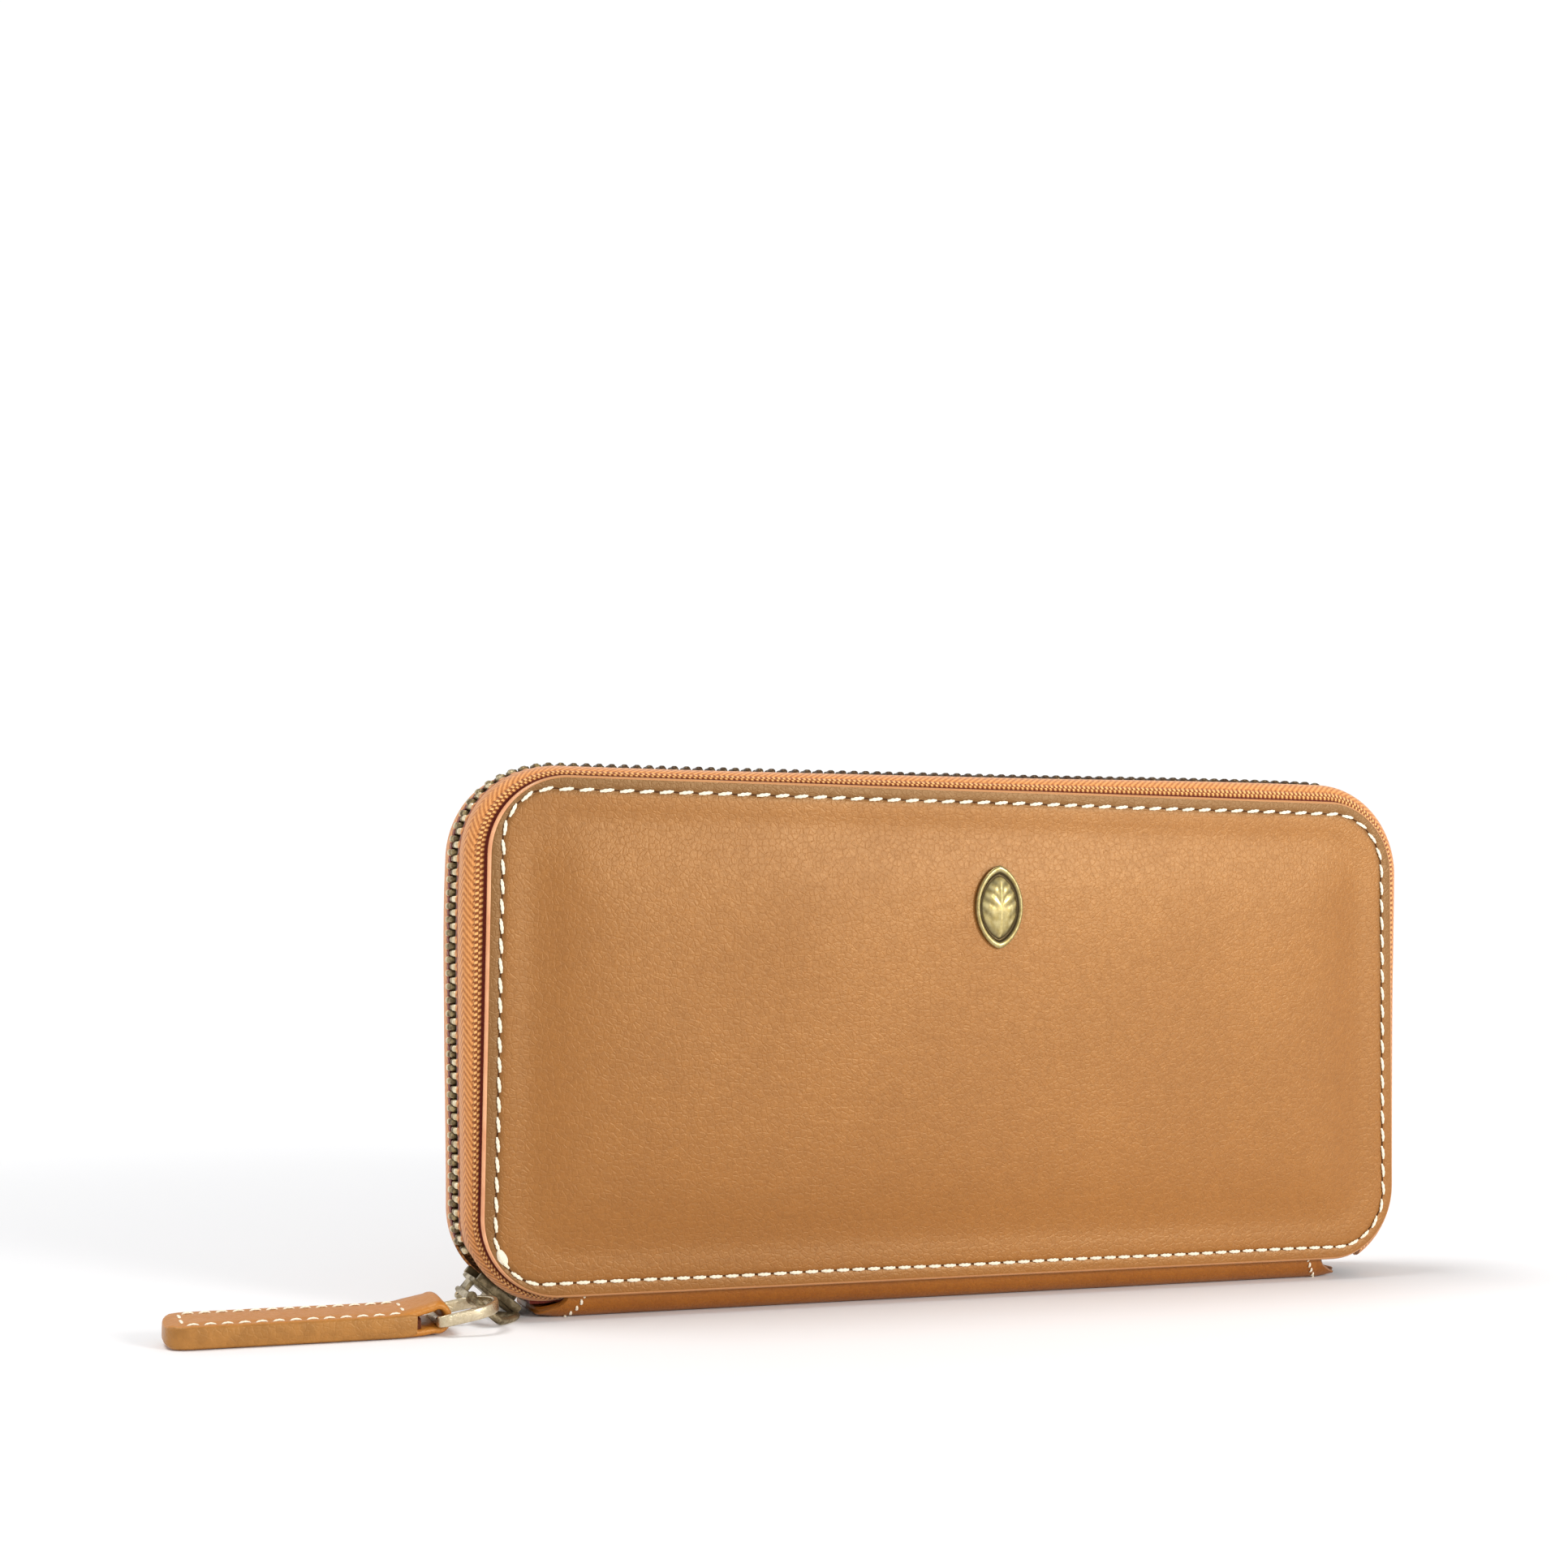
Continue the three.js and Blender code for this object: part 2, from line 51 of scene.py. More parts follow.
# --- Table, light and camera -------------------------------------------------
# The wallet stands on a plain pale table in a white studio: daylight from above
# and the left, one round soft light in front on the right, white walls all round.
class Wire:
    """One value inside a finish, so that sums on it are written as sums."""

    def __init__(self, tree, socket):
        self.tree, self.socket = tree, socket

    def _sum(self, operation, first, second=None):
        node = self.tree.nodes.new("ShaderNodeMath")
        node.operation = operation
        for end, socket in zip((first, second), node.inputs):
            if end is not None:
                plug(self.tree, end, socket)
        return Wire(self.tree, node.outputs[0])

    def __add__(self, other):
        return self._sum("ADD", self, other)

    def __sub__(self, other):
        return self._sum("SUBTRACT", self, other)

    def __rsub__(self, other):
        return self._sum("SUBTRACT", other, self)

    def __mul__(self, other):
        return self._sum("MULTIPLY", self, other)

    def __truediv__(self, other):
        return self._sum("DIVIDE", self, other)

    def __gt__(self, other):
        return self._sum("GREATER_THAN", self, other)

    def __abs__(self):
        return self._sum("ABSOLUTE", self)

    def wave(self):
        return self._sum("SINE", self)

    def most(self, other):
        return self._sum("MAXIMUM", self, other)

    __radd__, __rmul__ = __add__, __mul__


def plug(tree, value, socket):
    if isinstance(value, Wire):
        tree.links.new(value.socket, socket)
    elif isinstance(value, (tuple, list)) and socket.type == "RGBA":
        socket.default_value = (*value[:3], 1.0)
    else:
        socket.default_value = value


class Nodes:
    """The nodes of a finish or of the studio's walls."""

    def __init__(self, tree, end):
        self.tree, self.end = tree, tree.nodes[end]

    def set(self, **values):
        for name, value in values.items():
            plug(self.tree, value, self.end.inputs[name.replace("_", " ")])

    def node(self, kind, settings=(), sockets=(), output=0):
        made = self.tree.nodes.new("ShaderNode" + kind)
        for name, value in dict(settings).items():
            setattr(made, name, value)
        for name, value in dict(sockets).items():
            plug(self.tree, value, made.inputs[name])
        return Wire(self.tree, made.outputs[output])

    def place(self):
        return self.node("TexCoord", output="Object")

    def axis(self, letter):
        return self.node("SeparateXYZ", {}, {"Vector": self.place()}, letter)

    def mark(self, name):
        return self.node("Attribute", {"attribute_name": name}, output="Fac")

    def cloud(self, size, detail=3.0, rough=0.55, warp=0.0):
        sockets = {"Vector": self.place(), "Scale": 1.0 / (size * MM),
                   "Detail": detail, "Roughness": rough, "Distortion": warp}
        return self.node("TexNoise", {}, sockets)

    def patches(self, size, detail=3.0, rough=0.55, warp=0.0, low=0.3, high=0.7):
        return self.between(self.cloud(size, detail, rough, warp), low, high)

    def cells(self, size, feature="F1", jitter=1.0):
        sockets = {"Vector": self.place(), "Scale": 1.0 / (size * MM), "Randomness": jitter}
        return self.node("TexVoronoi", {"feature": feature}, sockets, "Distance")

    def between(self, value, low, high, new_low=0.0, new_high=1.0):
        settings = {"interpolation_type": "SMOOTHSTEP"}
        sockets = {"Value": value, "From Min": low, "From Max": high,
                   "To Min": new_low, "To Max": new_high}
        return self.node("MapRange", settings, sockets)

    def mix(self, share, first, second, how="MIX"):
        made = self.tree.nodes.new("ShaderNodeMix")
        made.data_type, made.blend_type = "RGBA", how
        plug(self.tree, share, made.inputs[0])
        plug(self.tree, first, made.inputs[6])
        plug(self.tree, second, made.inputs[7])
        return Wire(self.tree, made.outputs[2])


class Finish(Nodes):
    """A material of the wallet."""

    def __init__(self, name, **fixed):
        self.material = bpy.data.materials.new(name)
        self.material.use_nodes = True
        super().__init__(self.material.node_tree, "Principled BSDF")
        self.set(**fixed)

    def raised(self, height, depth, strength=1.0):
        sockets = {"Height": height, "Distance": depth * MM, "Strength": strength}
        self.set(Normal=self.node("Bump", {}, sockets))


TABLE_WIDE = 8.0
table_mesh = bpy.data.meshes.new("table")
table_builder = bmesh.new()
bmesh.ops.create_grid(table_builder, x_segments=8, y_segments=8, size=TABLE_WIDE / 2)
table_builder.to_mesh(table_mesh)
table_builder.free()
table = bpy.data.objects.new("table", table_mesh)
bpy.context.scene.collection.objects.link(table)
paper = Finish("white_paper", Roughness=0.85, Specular_IOR_Level=0.2)
spread = paper.node("VectorMath", {"operation": "LENGTH"}, {"Vector": paper.place()}, "Value")
# Painted shadow: the paper is darker near the wallet and turns white further out.
painted_shadow_fade = paper.between(spread, 0.18, 0.60)
paper.set(Base_Color=paper.mix(painted_shadow_fade * 0.95 + paper.cloud(60.0) * 0.05, (0.865, 0.865, 0.87),
                               (0.995, 0.995, 0.995)))
paper.raised(paper.cloud(1.5), 0.01, 0.2)
table_mesh.materials.append(paper.material)

studio = bpy.data.worlds.new("studio")
studio.use_nodes = True
walls = Nodes(studio.node_tree, "Background")
up = walls.node("SeparateXYZ", {}, {"Vector": walls.node("TexCoord", output="Generated")}, "Z")
overhead = walls.node("MapRange", {}, {"Value": up, "From Min": 0.40, "From Max": 0.62})
walls.set(Color=walls.mix(overhead, (1.0, 1.0, 1.0), (0.47, 0.47, 0.475)), Strength=1.04)
bpy.context.scene.world = studio
bpy.context.scene.view_settings.view_transform = "Standard"


def hang(lamp, place, target):
    """Hang a lamp in the studio and turn it to its target."""
    holder = bpy.data.objects.new(lamp.name, lamp)
    holder.location = place
    aim = Vector(target) - Vector(place)
    holder.rotation_euler = aim.to_track_quat("-Z", "Y").to_euler()
    bpy.context.scene.collection.objects.link(holder)


key = bpy.data.lights.new("key_light", "AREA")
key.shape, key.size, key.energy, key.color = "DISK", 0.25, 4.0, (1.0, 0.98, 0.96)
hang(key, (0.36, -0.72, 0.29), (0.03, 0.0, 0.08))
daylight = bpy.data.lights.new("daylight", "SUN")
daylight.energy, daylight.angle = 1.55, math.radians(28)
hang(daylight, (0.0, 0.0, 0.0), (0.34, -0.10, -0.93))

CAMERA_YAW, CAMERA_DOWN, CAMERA_ROLL = map(math.radians, (21.10, -3.55, 0.64))
sight = Vector((math.sin(CAMERA_YAW) * math.cos(CAMERA_DOWN),
                math.cos(CAMERA_YAW) * math.cos(CAMERA_DOWN), -math.sin(CAMERA_DOWN)))
level = Vector((math.cos(CAMERA_YAW), -math.sin(CAMERA_YAW), 0.0))
upright = level.cross(sight)
right = level * math.cos(CAMERA_ROLL) + upright * math.sin(CAMERA_ROLL)
above = upright * math.cos(CAMERA_ROLL) - level * math.sin(CAMERA_ROLL)
camera = bpy.data.objects.new("camera", bpy.data.cameras.new("camera"))
camera.data.lens, camera.data.sensor_width = 52.17, 36.0
camera.data.clip_start = 0.01
turn = Matrix((right, above, -sight)).transposed().to_4x4()
camera.matrix_world = Matrix.Translation((-0.1968, -0.4165, 0.0724)) @ turn
bpy.context.scene.collection.objects.link(camera)
bpy.context.scene.camera = camera


# --- Covers ------------------------------------------------------------------
# Two padded covers of smooth full-grain leather, 1.6 mm thick, glued over felt.
# Each is turned at its edge, painted there, and sewn all round 2.6 mm in.
def quads(count, wide, steps):
    """Faces that join each closed row of points to the next one."""
    return [[i * wide + j, i * wide + (j + 1) % wide,
             (i + 1) % count * wide + (j + 1) % wide, (i + 1) % count * wide + j]
            for i in range(steps) for j in range(wide)]


class Stock:
    """Points in millimetres and faces of a piece, while it is being made."""

    def __init__(self):
        self.points, self.faces, self.kinds, self.marks = [], [], [], {}

    def add(self, points, faces, kind=0, **marks):
        start = len(self.points)
        self.points.extend(np.asarray(points, float).reshape(-1, 3).tolist())
        self.faces.extend([[start + i for i in face] for face in faces])
        self.kinds.extend([kind] * len(faces))
        for name, values in marks.items():
            kept = self.marks.setdefault(name, [])
            kept.extend([0.0] * (start - len(kept)))
            kept.extend(np.asarray(values, float).ravel().tolist())

    def skin(self, rows, kind=0, kinds=None, **marks):
        """Closed rows of points joined by faces, the first and the last one capped."""
        rows = np.asarray(rows, float)
        count, wide = rows.shape[:2]
        faces = quads(count, wide, count - 1)
        faces += [list(range(wide))[::-1], list(range((count - 1) * wide, count * wide))]
        first = len(self.kinds)
        self.add(rows, faces, kind, **marks)
        for i, value in enumerate(kinds or ()):
            start = first + i * wide
            self.kinds[start:start + wide] = [value] * wide

    def loop(self, rows):
        """Closed rows of points joined in a ring, with no ends."""
        rows = np.asarray(rows, float)
        self.add(rows, quads(*rows.shape[:2], len(rows)))

    def piece(self, name, finishes, body=None, stands_for=(), sharp=50):
        mesh = bpy.data.meshes.new(name)
        points = np.array(self.points) * MM
        mesh.from_pydata(points.tolist(), [], self.faces)
        mesh.polygons.foreach_set("material_index", self.kinds)
        builder = bmesh.new()
        builder.from_mesh(mesh)
        bmesh.ops.recalc_face_normals(builder, faces=builder.faces)
        builder.to_mesh(mesh)
        builder.free()
        mesh.polygons.foreach_set("use_smooth", [True] * len(mesh.polygons))
        mesh.set_sharp_from_angle(angle=math.radians(sharp))
        for mark, values in self.marks.items():
            values = values + [0.0] * (len(self.points) - len(values))
            mesh.attributes.new(mark, "FLOAT", "POINT").data.foreach_set("value", values)
        for finish in finishes:
            mesh.materials.append(finish.material)
        made = bpy.data.objects.new(name, mesh)
        bpy.context.scene.collection.objects.link(made)
        if body:
            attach(made, body)
        if stands_for:
            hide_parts(*stands_for)
        return made


def smooth_through(xs, ys, x):
    """A smooth curve through points, with no overshoot between them."""
    xs, ys, x = np.array(xs, float), np.array(ys, float), np.asarray(x, float)
    run = np.diff(xs)
    slope = np.diff(ys) / run
    lean = np.zeros_like(ys)
    both = slope[:-1] * slope[1:]
    lean[1:-1] = np.where(both > 0, 2 * both / (slope[:-1] + slope[1:] + 1e-30), 0)
    lean[0], lean[-1] = slope[0], slope[-1]
    i = np.clip(np.searchsorted(xs, x) - 1, 0, len(xs) - 2)
    t = np.clip((x - xs[i]) / run[i], 0, 1)
    return ((2 * t**3 - 3 * t**2 + 1) * ys[i] + (t**3 - 2 * t**2 + t) * run[i] * lean[i]
            + (3 * t**2 - 2 * t**3) * ys[i + 1] + (t**3 - t**2) * run[i] * lean[i + 1])


HALVES = ((-1, "front"), (1, "back"))
COVER_X, COVER_LOW, COVER_HIGH, CORNER = 98.0, 4.2, 99.6, 15.0
TURN_X, TURN_LOW, TURN_HIGH = 83.0, 19.2, 84.6
COVER_MID = (COVER_LOW + COVER_HIGH) / 2
COVER_RISE = (COVER_HIGH - COVER_LOW) / 2
MARGIN_Y, COVER_THICK = 12.0, 1.6
STITCH_IN, STITCH_SUNK = 2.6, 0.12
DIP_DEEP, HOLE_WIDE, GROOVE_WIDE = 0.15, 0.62, 0.42


def rounded(half_x, half_z, radius, counts=(208, 82, 30)):
    """A rounded rectangle, clockwise from the left end of its top, seen from the front."""
    top, side, arc = counts
    ax, az = half_x - radius, half_z - radius
    out = []
    lines = [((-ax, half_z), (ax, half_z), top, (ax, az), 90),
             ((half_x, az), (half_x, -az), side, (ax, -az), 0),
             ((ax, -half_z), (-ax, -half_z), top, (-ax, -az), -90),
             ((-half_x, -az), (-half_x, az), side, (-ax, az), -180)]
    for start, end, count, centre, angle in lines:
        t = np.linspace(0, 1, count, endpoint=False)[:, None]
        out.append(np.array(start) * (1 - t) + np.array(end) * t)
        a = np.radians(angle - 90 * np.linspace(0, 1, arc, endpoint=False))
        out.append(np.array(centre) + radius * np.c_[np.cos(a), np.sin(a)])
    return np.concatenate(out)


def cover_ring(inset):
    ring = rounded(COVER_X - inset, COVER_RISE - inset, CORNER * math.exp(-inset / CORNER))
    return ring + np.array([0.0, COVER_MID])


def along(line, count, start, end):
    """Points and directions evenly along an open line, from share start to share end."""
    steps = np.r_[0, np.cumsum(np.linalg.norm(np.diff(line, axis=0), axis=1))]
    at = np.linspace(start, end, count) * steps[-1]
    spots = np.c_[[np.interp(at, steps, line[:, k]) for k in range(line.shape[1])]].T
    near = [np.interp(at - 0.05, steps, line[:, k]) for k in range(line.shape[1])]
    far = [np.interp(at + 0.05, steps, line[:, k]) for k in range(line.shape[1])]
    ahead = np.c_[far].T - np.c_[near].T
    return spots, ahead / np.linalg.norm(ahead, axis=1)[:, None]


def sewn_line():
    """The sewn line, 2.6 mm in from the edge, turning tighter at the slider's end."""
    wide, tall = COVER_X - STITCH_IN, COVER_RISE - STITCH_IN
    far = rounded(wide, tall, 11.6)
    near = rounded(wide, tall, 9.6)
    return np.where(far[:, :1] > 0, far, near) + np.array([0.0, COVER_MID])


# each side of the seam, from the middle of one corner to the middle of the next
seam_ring = np.roll(sewn_line(), 15, axis=0)
SIDES = [(0, 208 + 30, 48), (238, 82 + 30, 23), (350, 208 + 30, 58), (588, 82 + 30, 24)]
seam_spots, seam_aims, seam_pitch = [], [], []
closed = np.concatenate([seam_ring, seam_ring[:1]])
for first, wide, count in SIDES:
    part = closed[first:first + wide + 1]
    spots, aims = along(part, count, 0.5 / count, 1 - 0.5 / count)
    seam_spots.append(spots)
    seam_aims.append(aims)
    seam_pitch += [np.linalg.norm(np.diff(part, axis=0), axis=1).sum() / count] * count
seam_spots, seam_aims = np.concatenate(seam_spots), np.concatenate(seam_aims)
seam_pitch = np.array(seam_pitch)
holes = np.concatenate([seam_spots + seam_aims * seam_pitch[:, None] * s for s in (-0.42, 0.42)])

# how far the leather stands out from the margin, by the distance in from its edge
PUFF = [(0.0, -0.5), (0.16, -0.16), (0.5, 0.0), (1.7, 0.02), (3.6, 0.02), (5.0, 0.0), (8.0, -0.2),
        (11.0, 0.0), (15.0, 0.45), (19.0, 0.74), (25.0, 0.93), (32.0, 1.0), (47.0, 1.0)]
FRONT_INSETS = [46.6, 45, 43, 40, 37, 34, 31, 28, 26, 24, 22, 20, 18.5, 17, 15.5, 14, 12.5,
                11, 9.6, 8.4, 7.2, 6.1, 5.2, 4.4, 3.8, 3.4, 3.1, 2.85, 2.6, 2.35, 2.1,
                1.8, 1.4, 1.0, 0.7, 0.45, 0.24, 0.08, 0.0]
BACK_INSETS = [0.0, 0.12, 0.4, 2.0, 6.0, 10.0, 16.0, 24.0, 34.0, 46.6]
EDGE_IN = 0.45


def cover_face(ring, inset):
    """How far out the leather stands at points of a ring."""
    out = np.full(len(ring), MARGIN_Y + smooth_through(*zip(*PUFF), inset))
    if 0.6 < inset < 4.5:
        far = np.linalg.norm(ring[:, None, :] - holes[None], axis=2).min(axis=1)
        line = np.linalg.norm(ring[:, None, :] - seam_ring[None], axis=2).min(axis=1)
        out -= (DIP_DEEP * np.exp(-(far / HOLE_WIDE) ** 2)
                + DIP_DEEP * np.exp(-(line / GROOVE_WIDE) ** 2))
    x, z = ring[:, 0], ring[:, 1]
    deep = smooth_through([3, 12, 30], [0, 0.6, 1], inset)
    out += deep * (0.05 * np.sin(x / 13.0 + 0.8) * np.sin(z / 17.0)
                   + 0.035 * np.sin(x / 7.3 + z / 11.0))
    return out


def tan_leather(name, light, dark):
    """Smooth vegetable-tanned leather: soft blotches, fine grain and pin pores."""
    leather = Finish(name, Specular_IOR_Level=0.90, Coat_Weight=0.02, Coat_Roughness=0.30,
                     Specular_Tint=(1.0, 0.74, 0.44, 1.0))
    blotch = leather.patches(34.0, 3.0, 0.5, low=0.35, high=0.68)
    fleck = leather.patches(1.7, 5.0, 0.62, low=0.36, high=0.66)
    fine = leather.patches(0.55, 2.0, 0.6, low=0.35, high=0.65)
    pores = leather.between(leather.cells(0.85), 0.06, 0.24)
    tone = leather.mix(blotch * 0.34 + fleck * 0.36 + fine * 0.30, dark, light)
    tone = leather.mix((1 - pores) * 0.16, tone, tuple(c * 0.55 for c in dark))
    creases = leather.cells(1.15, "DISTANCE_TO_EDGE", jitter=0.9)
    grain = leather.between(creases, 0.0, 0.16) * 0.5 + fine * 0.3 + pores * 0.35
    leather.set(Roughness=leather.between(blotch * 0.5 + fleck * 0.5, 0.0, 1.0, 0.48, 0.42))
    leather.raised(grain + leather.cloud(4.0) * 0.7, 0.07, 0.75)
    leather.tone = tone
    return leather


panel_leather = tan_leather("cover_leather", (0.325, 0.119, 0.018), (0.258, 0.088, 0.011))
edge_near = panel_leather.between(panel_leather.mark("inset"), 2.3, 4.2)
# The margin outside the seam is a little darker all round; painted shade darkens it more toward the
# top and toward the slider's end.
painted_top_shade = panel_leather.between(panel_leather.axis("Z"), 0.025, 0.092)
painted_end_shade = panel_leather.between(panel_leather.axis("X"), -0.075, -0.095)
margin_tone_and_shade = panel_leather.mix((painted_top_shade * 0.85 + 0.13).most(painted_end_shade * 0.8),
                                panel_leather.tone, (0.170, 0.064, 0.009))
panel_tone_and_shade = panel_leather.mix(edge_near, margin_tone_and_shade, panel_leather.tone)
# Painted shade: the cover is darkened toward its left end, away from the soft light on the right.
painted_left_shade_fade = panel_leather.between(panel_leather.axis("X"), -0.10, 0.03)
panel_leather.set(Base_Color=panel_leather.mix((1 - painted_left_shade_fade) * 0.7, panel_tone_and_shade,
                                               (0.82, 0.79, 0.72), "MULTIPLY"))

edge_paint = Finish("edge_paint", Specular_IOR_Level=0.5, Coat_Weight=0.15)
worn = edge_paint.patches(6.0, 4.0)
edge_x, edge_z = edge_paint.axis("X"), edge_paint.axis("Z")
# The painted edge is darker toward the left end, along the top and along the bottom.
edge_darker_zones = edge_paint.between(edge_x, -0.09, -0.03).most(edge_paint.between(edge_z, 0.090, 0.100))
edge_darker_zones = edge_darker_zones.most(edge_paint.between(edge_z, 0.012, 0.005))
peach = edge_paint.mix(worn, (0.76, 0.33, 0.155), (0.92, 0.47, 0.240))
edge_paint.set(Base_Color=edge_paint.mix(edge_darker_zones * 0.85, peach, (0.44, 0.195, 0.060)),
               Roughness=edge_paint.between(worn, 0.0, 1.0, 0.5, 0.36))
edge_paint.raised(edge_paint.cloud(0.5), 0.03, 0.4)

thread = Finish("linen_thread", Roughness=0.62, Specular_IOR_Level=0.3, Sheen_Weight=0.3)
fibre = thread.patches(0.18, 3.0)
thread.set(Base_Color=thread.mix(fibre, (0.80, 0.70, 0.50), (0.95, 0.89, 0.74)))
thread.raised(fibre, 0.03, 0.6)

# Painted shade: the dark strips between stitches stand for the shadow in the holes and in the
# seam's groove.
sunk = Finish("painted_hole_shadow", Roughness=0.8, Specular_IOR_Level=0.1)
sunk.set(Base_Color=sunk.mix(sunk.cloud(0.3), (0.050, 0.018, 0.006), (0.105, 0.040, 0.012)))
sunk.raised(sunk.cloud(0.2), 0.03, 0.5)

STITCH_LONG, STITCH_WIDE, STITCH_LEAN = 2.75, 0.74, math.radians(8)
THREAD_TURNS = 1.4


def stitch(stock, middle, ahead, out, long=STITCH_LONG, wide=STITCH_WIDE, high=0.30):
    """One stitch of two-ply thread: it rises from its hole and dives into the next."""
    middle, ahead, out = (np.asarray(v, float) for v in (middle, ahead, out))
    across = np.cross(ahead, out)
    rows = []
    for t in np.linspace(0, 1, 11):
        swell = math.sin(math.pi * min(max(t, 0.03), 0.97)) ** 0.24
        lift = high * swell - 0.30 * (1 - swell)
        spot = middle + ahead * (t - 0.5) * long + out * lift
        twist = 2 * math.pi * THREAD_TURNS * t
        row = []
        for a in np.linspace(0, 2 * math.pi, 10, endpoint=False):
            r = wide / 2 * swell * (0.86 + 0.14 * math.cos(2 * (a - twist)))
            row.append(spot + across * r * math.cos(a) + out * r * 0.62 * math.sin(a))
        rows.append(row)
    stock.skin(rows)


def hole_line(stock, start, end, out, wide=0.34):
    """A dark strip of painted shade between two stitches, where the thread goes down."""
    start, end, out = (np.asarray(v, float) for v in (start, end, out))
    ahead = (end - start) / np.linalg.norm(end - start)
    across = np.cross(ahead, out)
    rows = []
    for t in np.linspace(0, 1, 5):
        w = wide / 2 * (0.55 + 0.45 * math.sin(math.pi * t))
        spot = start + (end - start) * t
        rows.append([spot + across * w * c + out * s for c, s in
                     ((-1, -0.12), (-0.7, 0.03), (0, 0.06), (0.7, 0.03), (1, -0.12), (0, -0.2))])
    stock.skin(rows, kind=1)


def sew_cover(side, half, knot):
    seam = Stock()
    out = np.array([0.0, side, 0.0])
    lean = np.array([[math.cos(STITCH_LEAN), -math.sin(STITCH_LEAN)],
                     [math.sin(STITCH_LEAN), math.cos(STITCH_LEAN)]])
    face = side * (MARGIN_Y - STITCH_SUNK)
    count = len(seam_spots)
    bottom_from = SIDES[0][2] + SIDES[1][2]
    knot_at = bottom_from + SIDES[2][2]
    for i in range(count):
        (x, z), aim = seam_spots[i], seam_aims[i]
        if not bottom_from <= i < knot_at:
            aim = lean @ aim
        long = STITCH_LONG * min(1.0, seam_pitch[i] / 3.7 + 0.04)
        wobble = 0.06 * math.sin(i * 12.9898)
        middle = (x + wobble * aim[1], face, z - wobble * aim[0])
        stitch(seam, middle, (aim[0], 0, aim[1]), out, long)
        a = seam_spots[i] + seam_aims[i] * long * 0.44
        j = (i + 1) % count
        b = seam_spots[j] - seam_aims[j] * long * 0.44
        if np.linalg.norm(b - a) > 0.2:
            hole_line(seam, (a[0], face, a[1]), (b[0], face, b[1]), out)
    if knot:
        spot = seam_spots[knot_at] * 0.7 + seam_spots[knot_at + 1] * 0.3
        aim = seam_aims[knot_at] * 0.7 + seam_aims[knot_at + 1] * 0.3
        aim /= np.linalg.norm(aim)
        side_step = np.array([aim[1], -aim[0]])
        rows = []
        for t in np.linspace(0.03, math.pi - 0.03, 12):
            thick = math.sin(t)
            row = []
            for a in np.linspace(0, 2 * math.pi, 20, endpoint=False):
                strands = 1 + 0.06 * math.cos(5 * a + 2.0 * t)
                across = 0.84 * thick * math.cos(a) * strands
                lift = 0.46 * thick * math.sin(a) * strands
                at = spot + aim * 1.6 * math.cos(t) + side_step * across
                row.append((at[0], face + side * (0.14 + lift), at[1]))
            rows.append(row)
        seam.skin(rows)
    seam.piece(f"cover_{half}_seam", [thread, sunk], f"{half}_half")


def make_cover(side, half):
    cover = Stock()
    rows, marks = [], []
    for inset in FRONT_INSETS:
        ring = cover_ring(inset)
        out = cover_face(ring, inset)
        rows.append(np.c_[ring[:, 0], side * out, ring[:, 1]])
        gap = ring[:, None, :] - seam_ring[None]
        near = np.linalg.norm(gap, axis=2)
        closest = near.argmin(axis=1)
        inward = np.array([0.0, COVER_MID]) - seam_ring[closest]
        inward[:, 0] *= (COVER_RISE / COVER_X)
        sign = np.sign((gap[np.arange(len(ring)), closest] * inward).sum(axis=1))
        marks.append(np.where(inset < 14, STITCH_IN + sign * near.min(axis=1), inset))
    for inset in BACK_INSETS:
        ring = cover_ring(inset)
        lift = max(0.0, smooth_through(*zip(*PUFF), inset)) if inset > 9 else 0.0
        round_off = {0.0: 0.4, 0.12: 0.12}.get(inset, 0.0)
        out = np.full(len(ring), MARGIN_Y - COVER_THICK + lift + round_off)
        rows.append(np.c_[ring[:, 0], side * out, ring[:, 1]])
        marks.append(np.zeros(len(ring)))
    insets = FRONT_INSETS + [0.0] * len(BACK_INSETS)
    kinds = [1 if max(insets[i], insets[i + 1]) <= EDGE_IN + 0.01 else 0
             for i in range(len(insets) - 1)]
    cover.skin(rows, kinds=kinds, inset=np.array(marks))
    cover.piece(f"cover_{half}", [panel_leather, edge_paint], f"{half}_half",
                (f"{half}_cover",), sharp=60)


for side, half in HALVES:
    make_cover(side, half)
for side, half in HALVES:
    sew_cover(side, half, half == "front")


# --- Zip tapes ---------------------------------------------------------------
# Two herringbone cotton tapes, 0.6 mm thick, dyed to match. One edge is glued
# and sewn between cover and lining, the other carries the teeth; both follow
# the covers' edge from the slider's corner up, over the top and down the far end.
RIM_REACH = CORNER + 3.2
ZIP_FROM, ZIP_TO = math.radians(29), math.radians(42)
RIM_START = RIM_REACH * (math.pi / 2 - ZIP_FROM)
SIDE_RUN, TOP_RUN, TURN_RUN = 65.4, 166.0, RIM_REACH * math.pi / 2
ZIP_RUN = (RIM_REACH * (ZIP_FROM + ZIP_TO) + 2 * SIDE_RUN + TOP_RUN + 2 * TURN_RUN)
TOOTH_PITCH, FIRST_TOOTH = 2.5, {"front": 1.5, "back": 2.75}


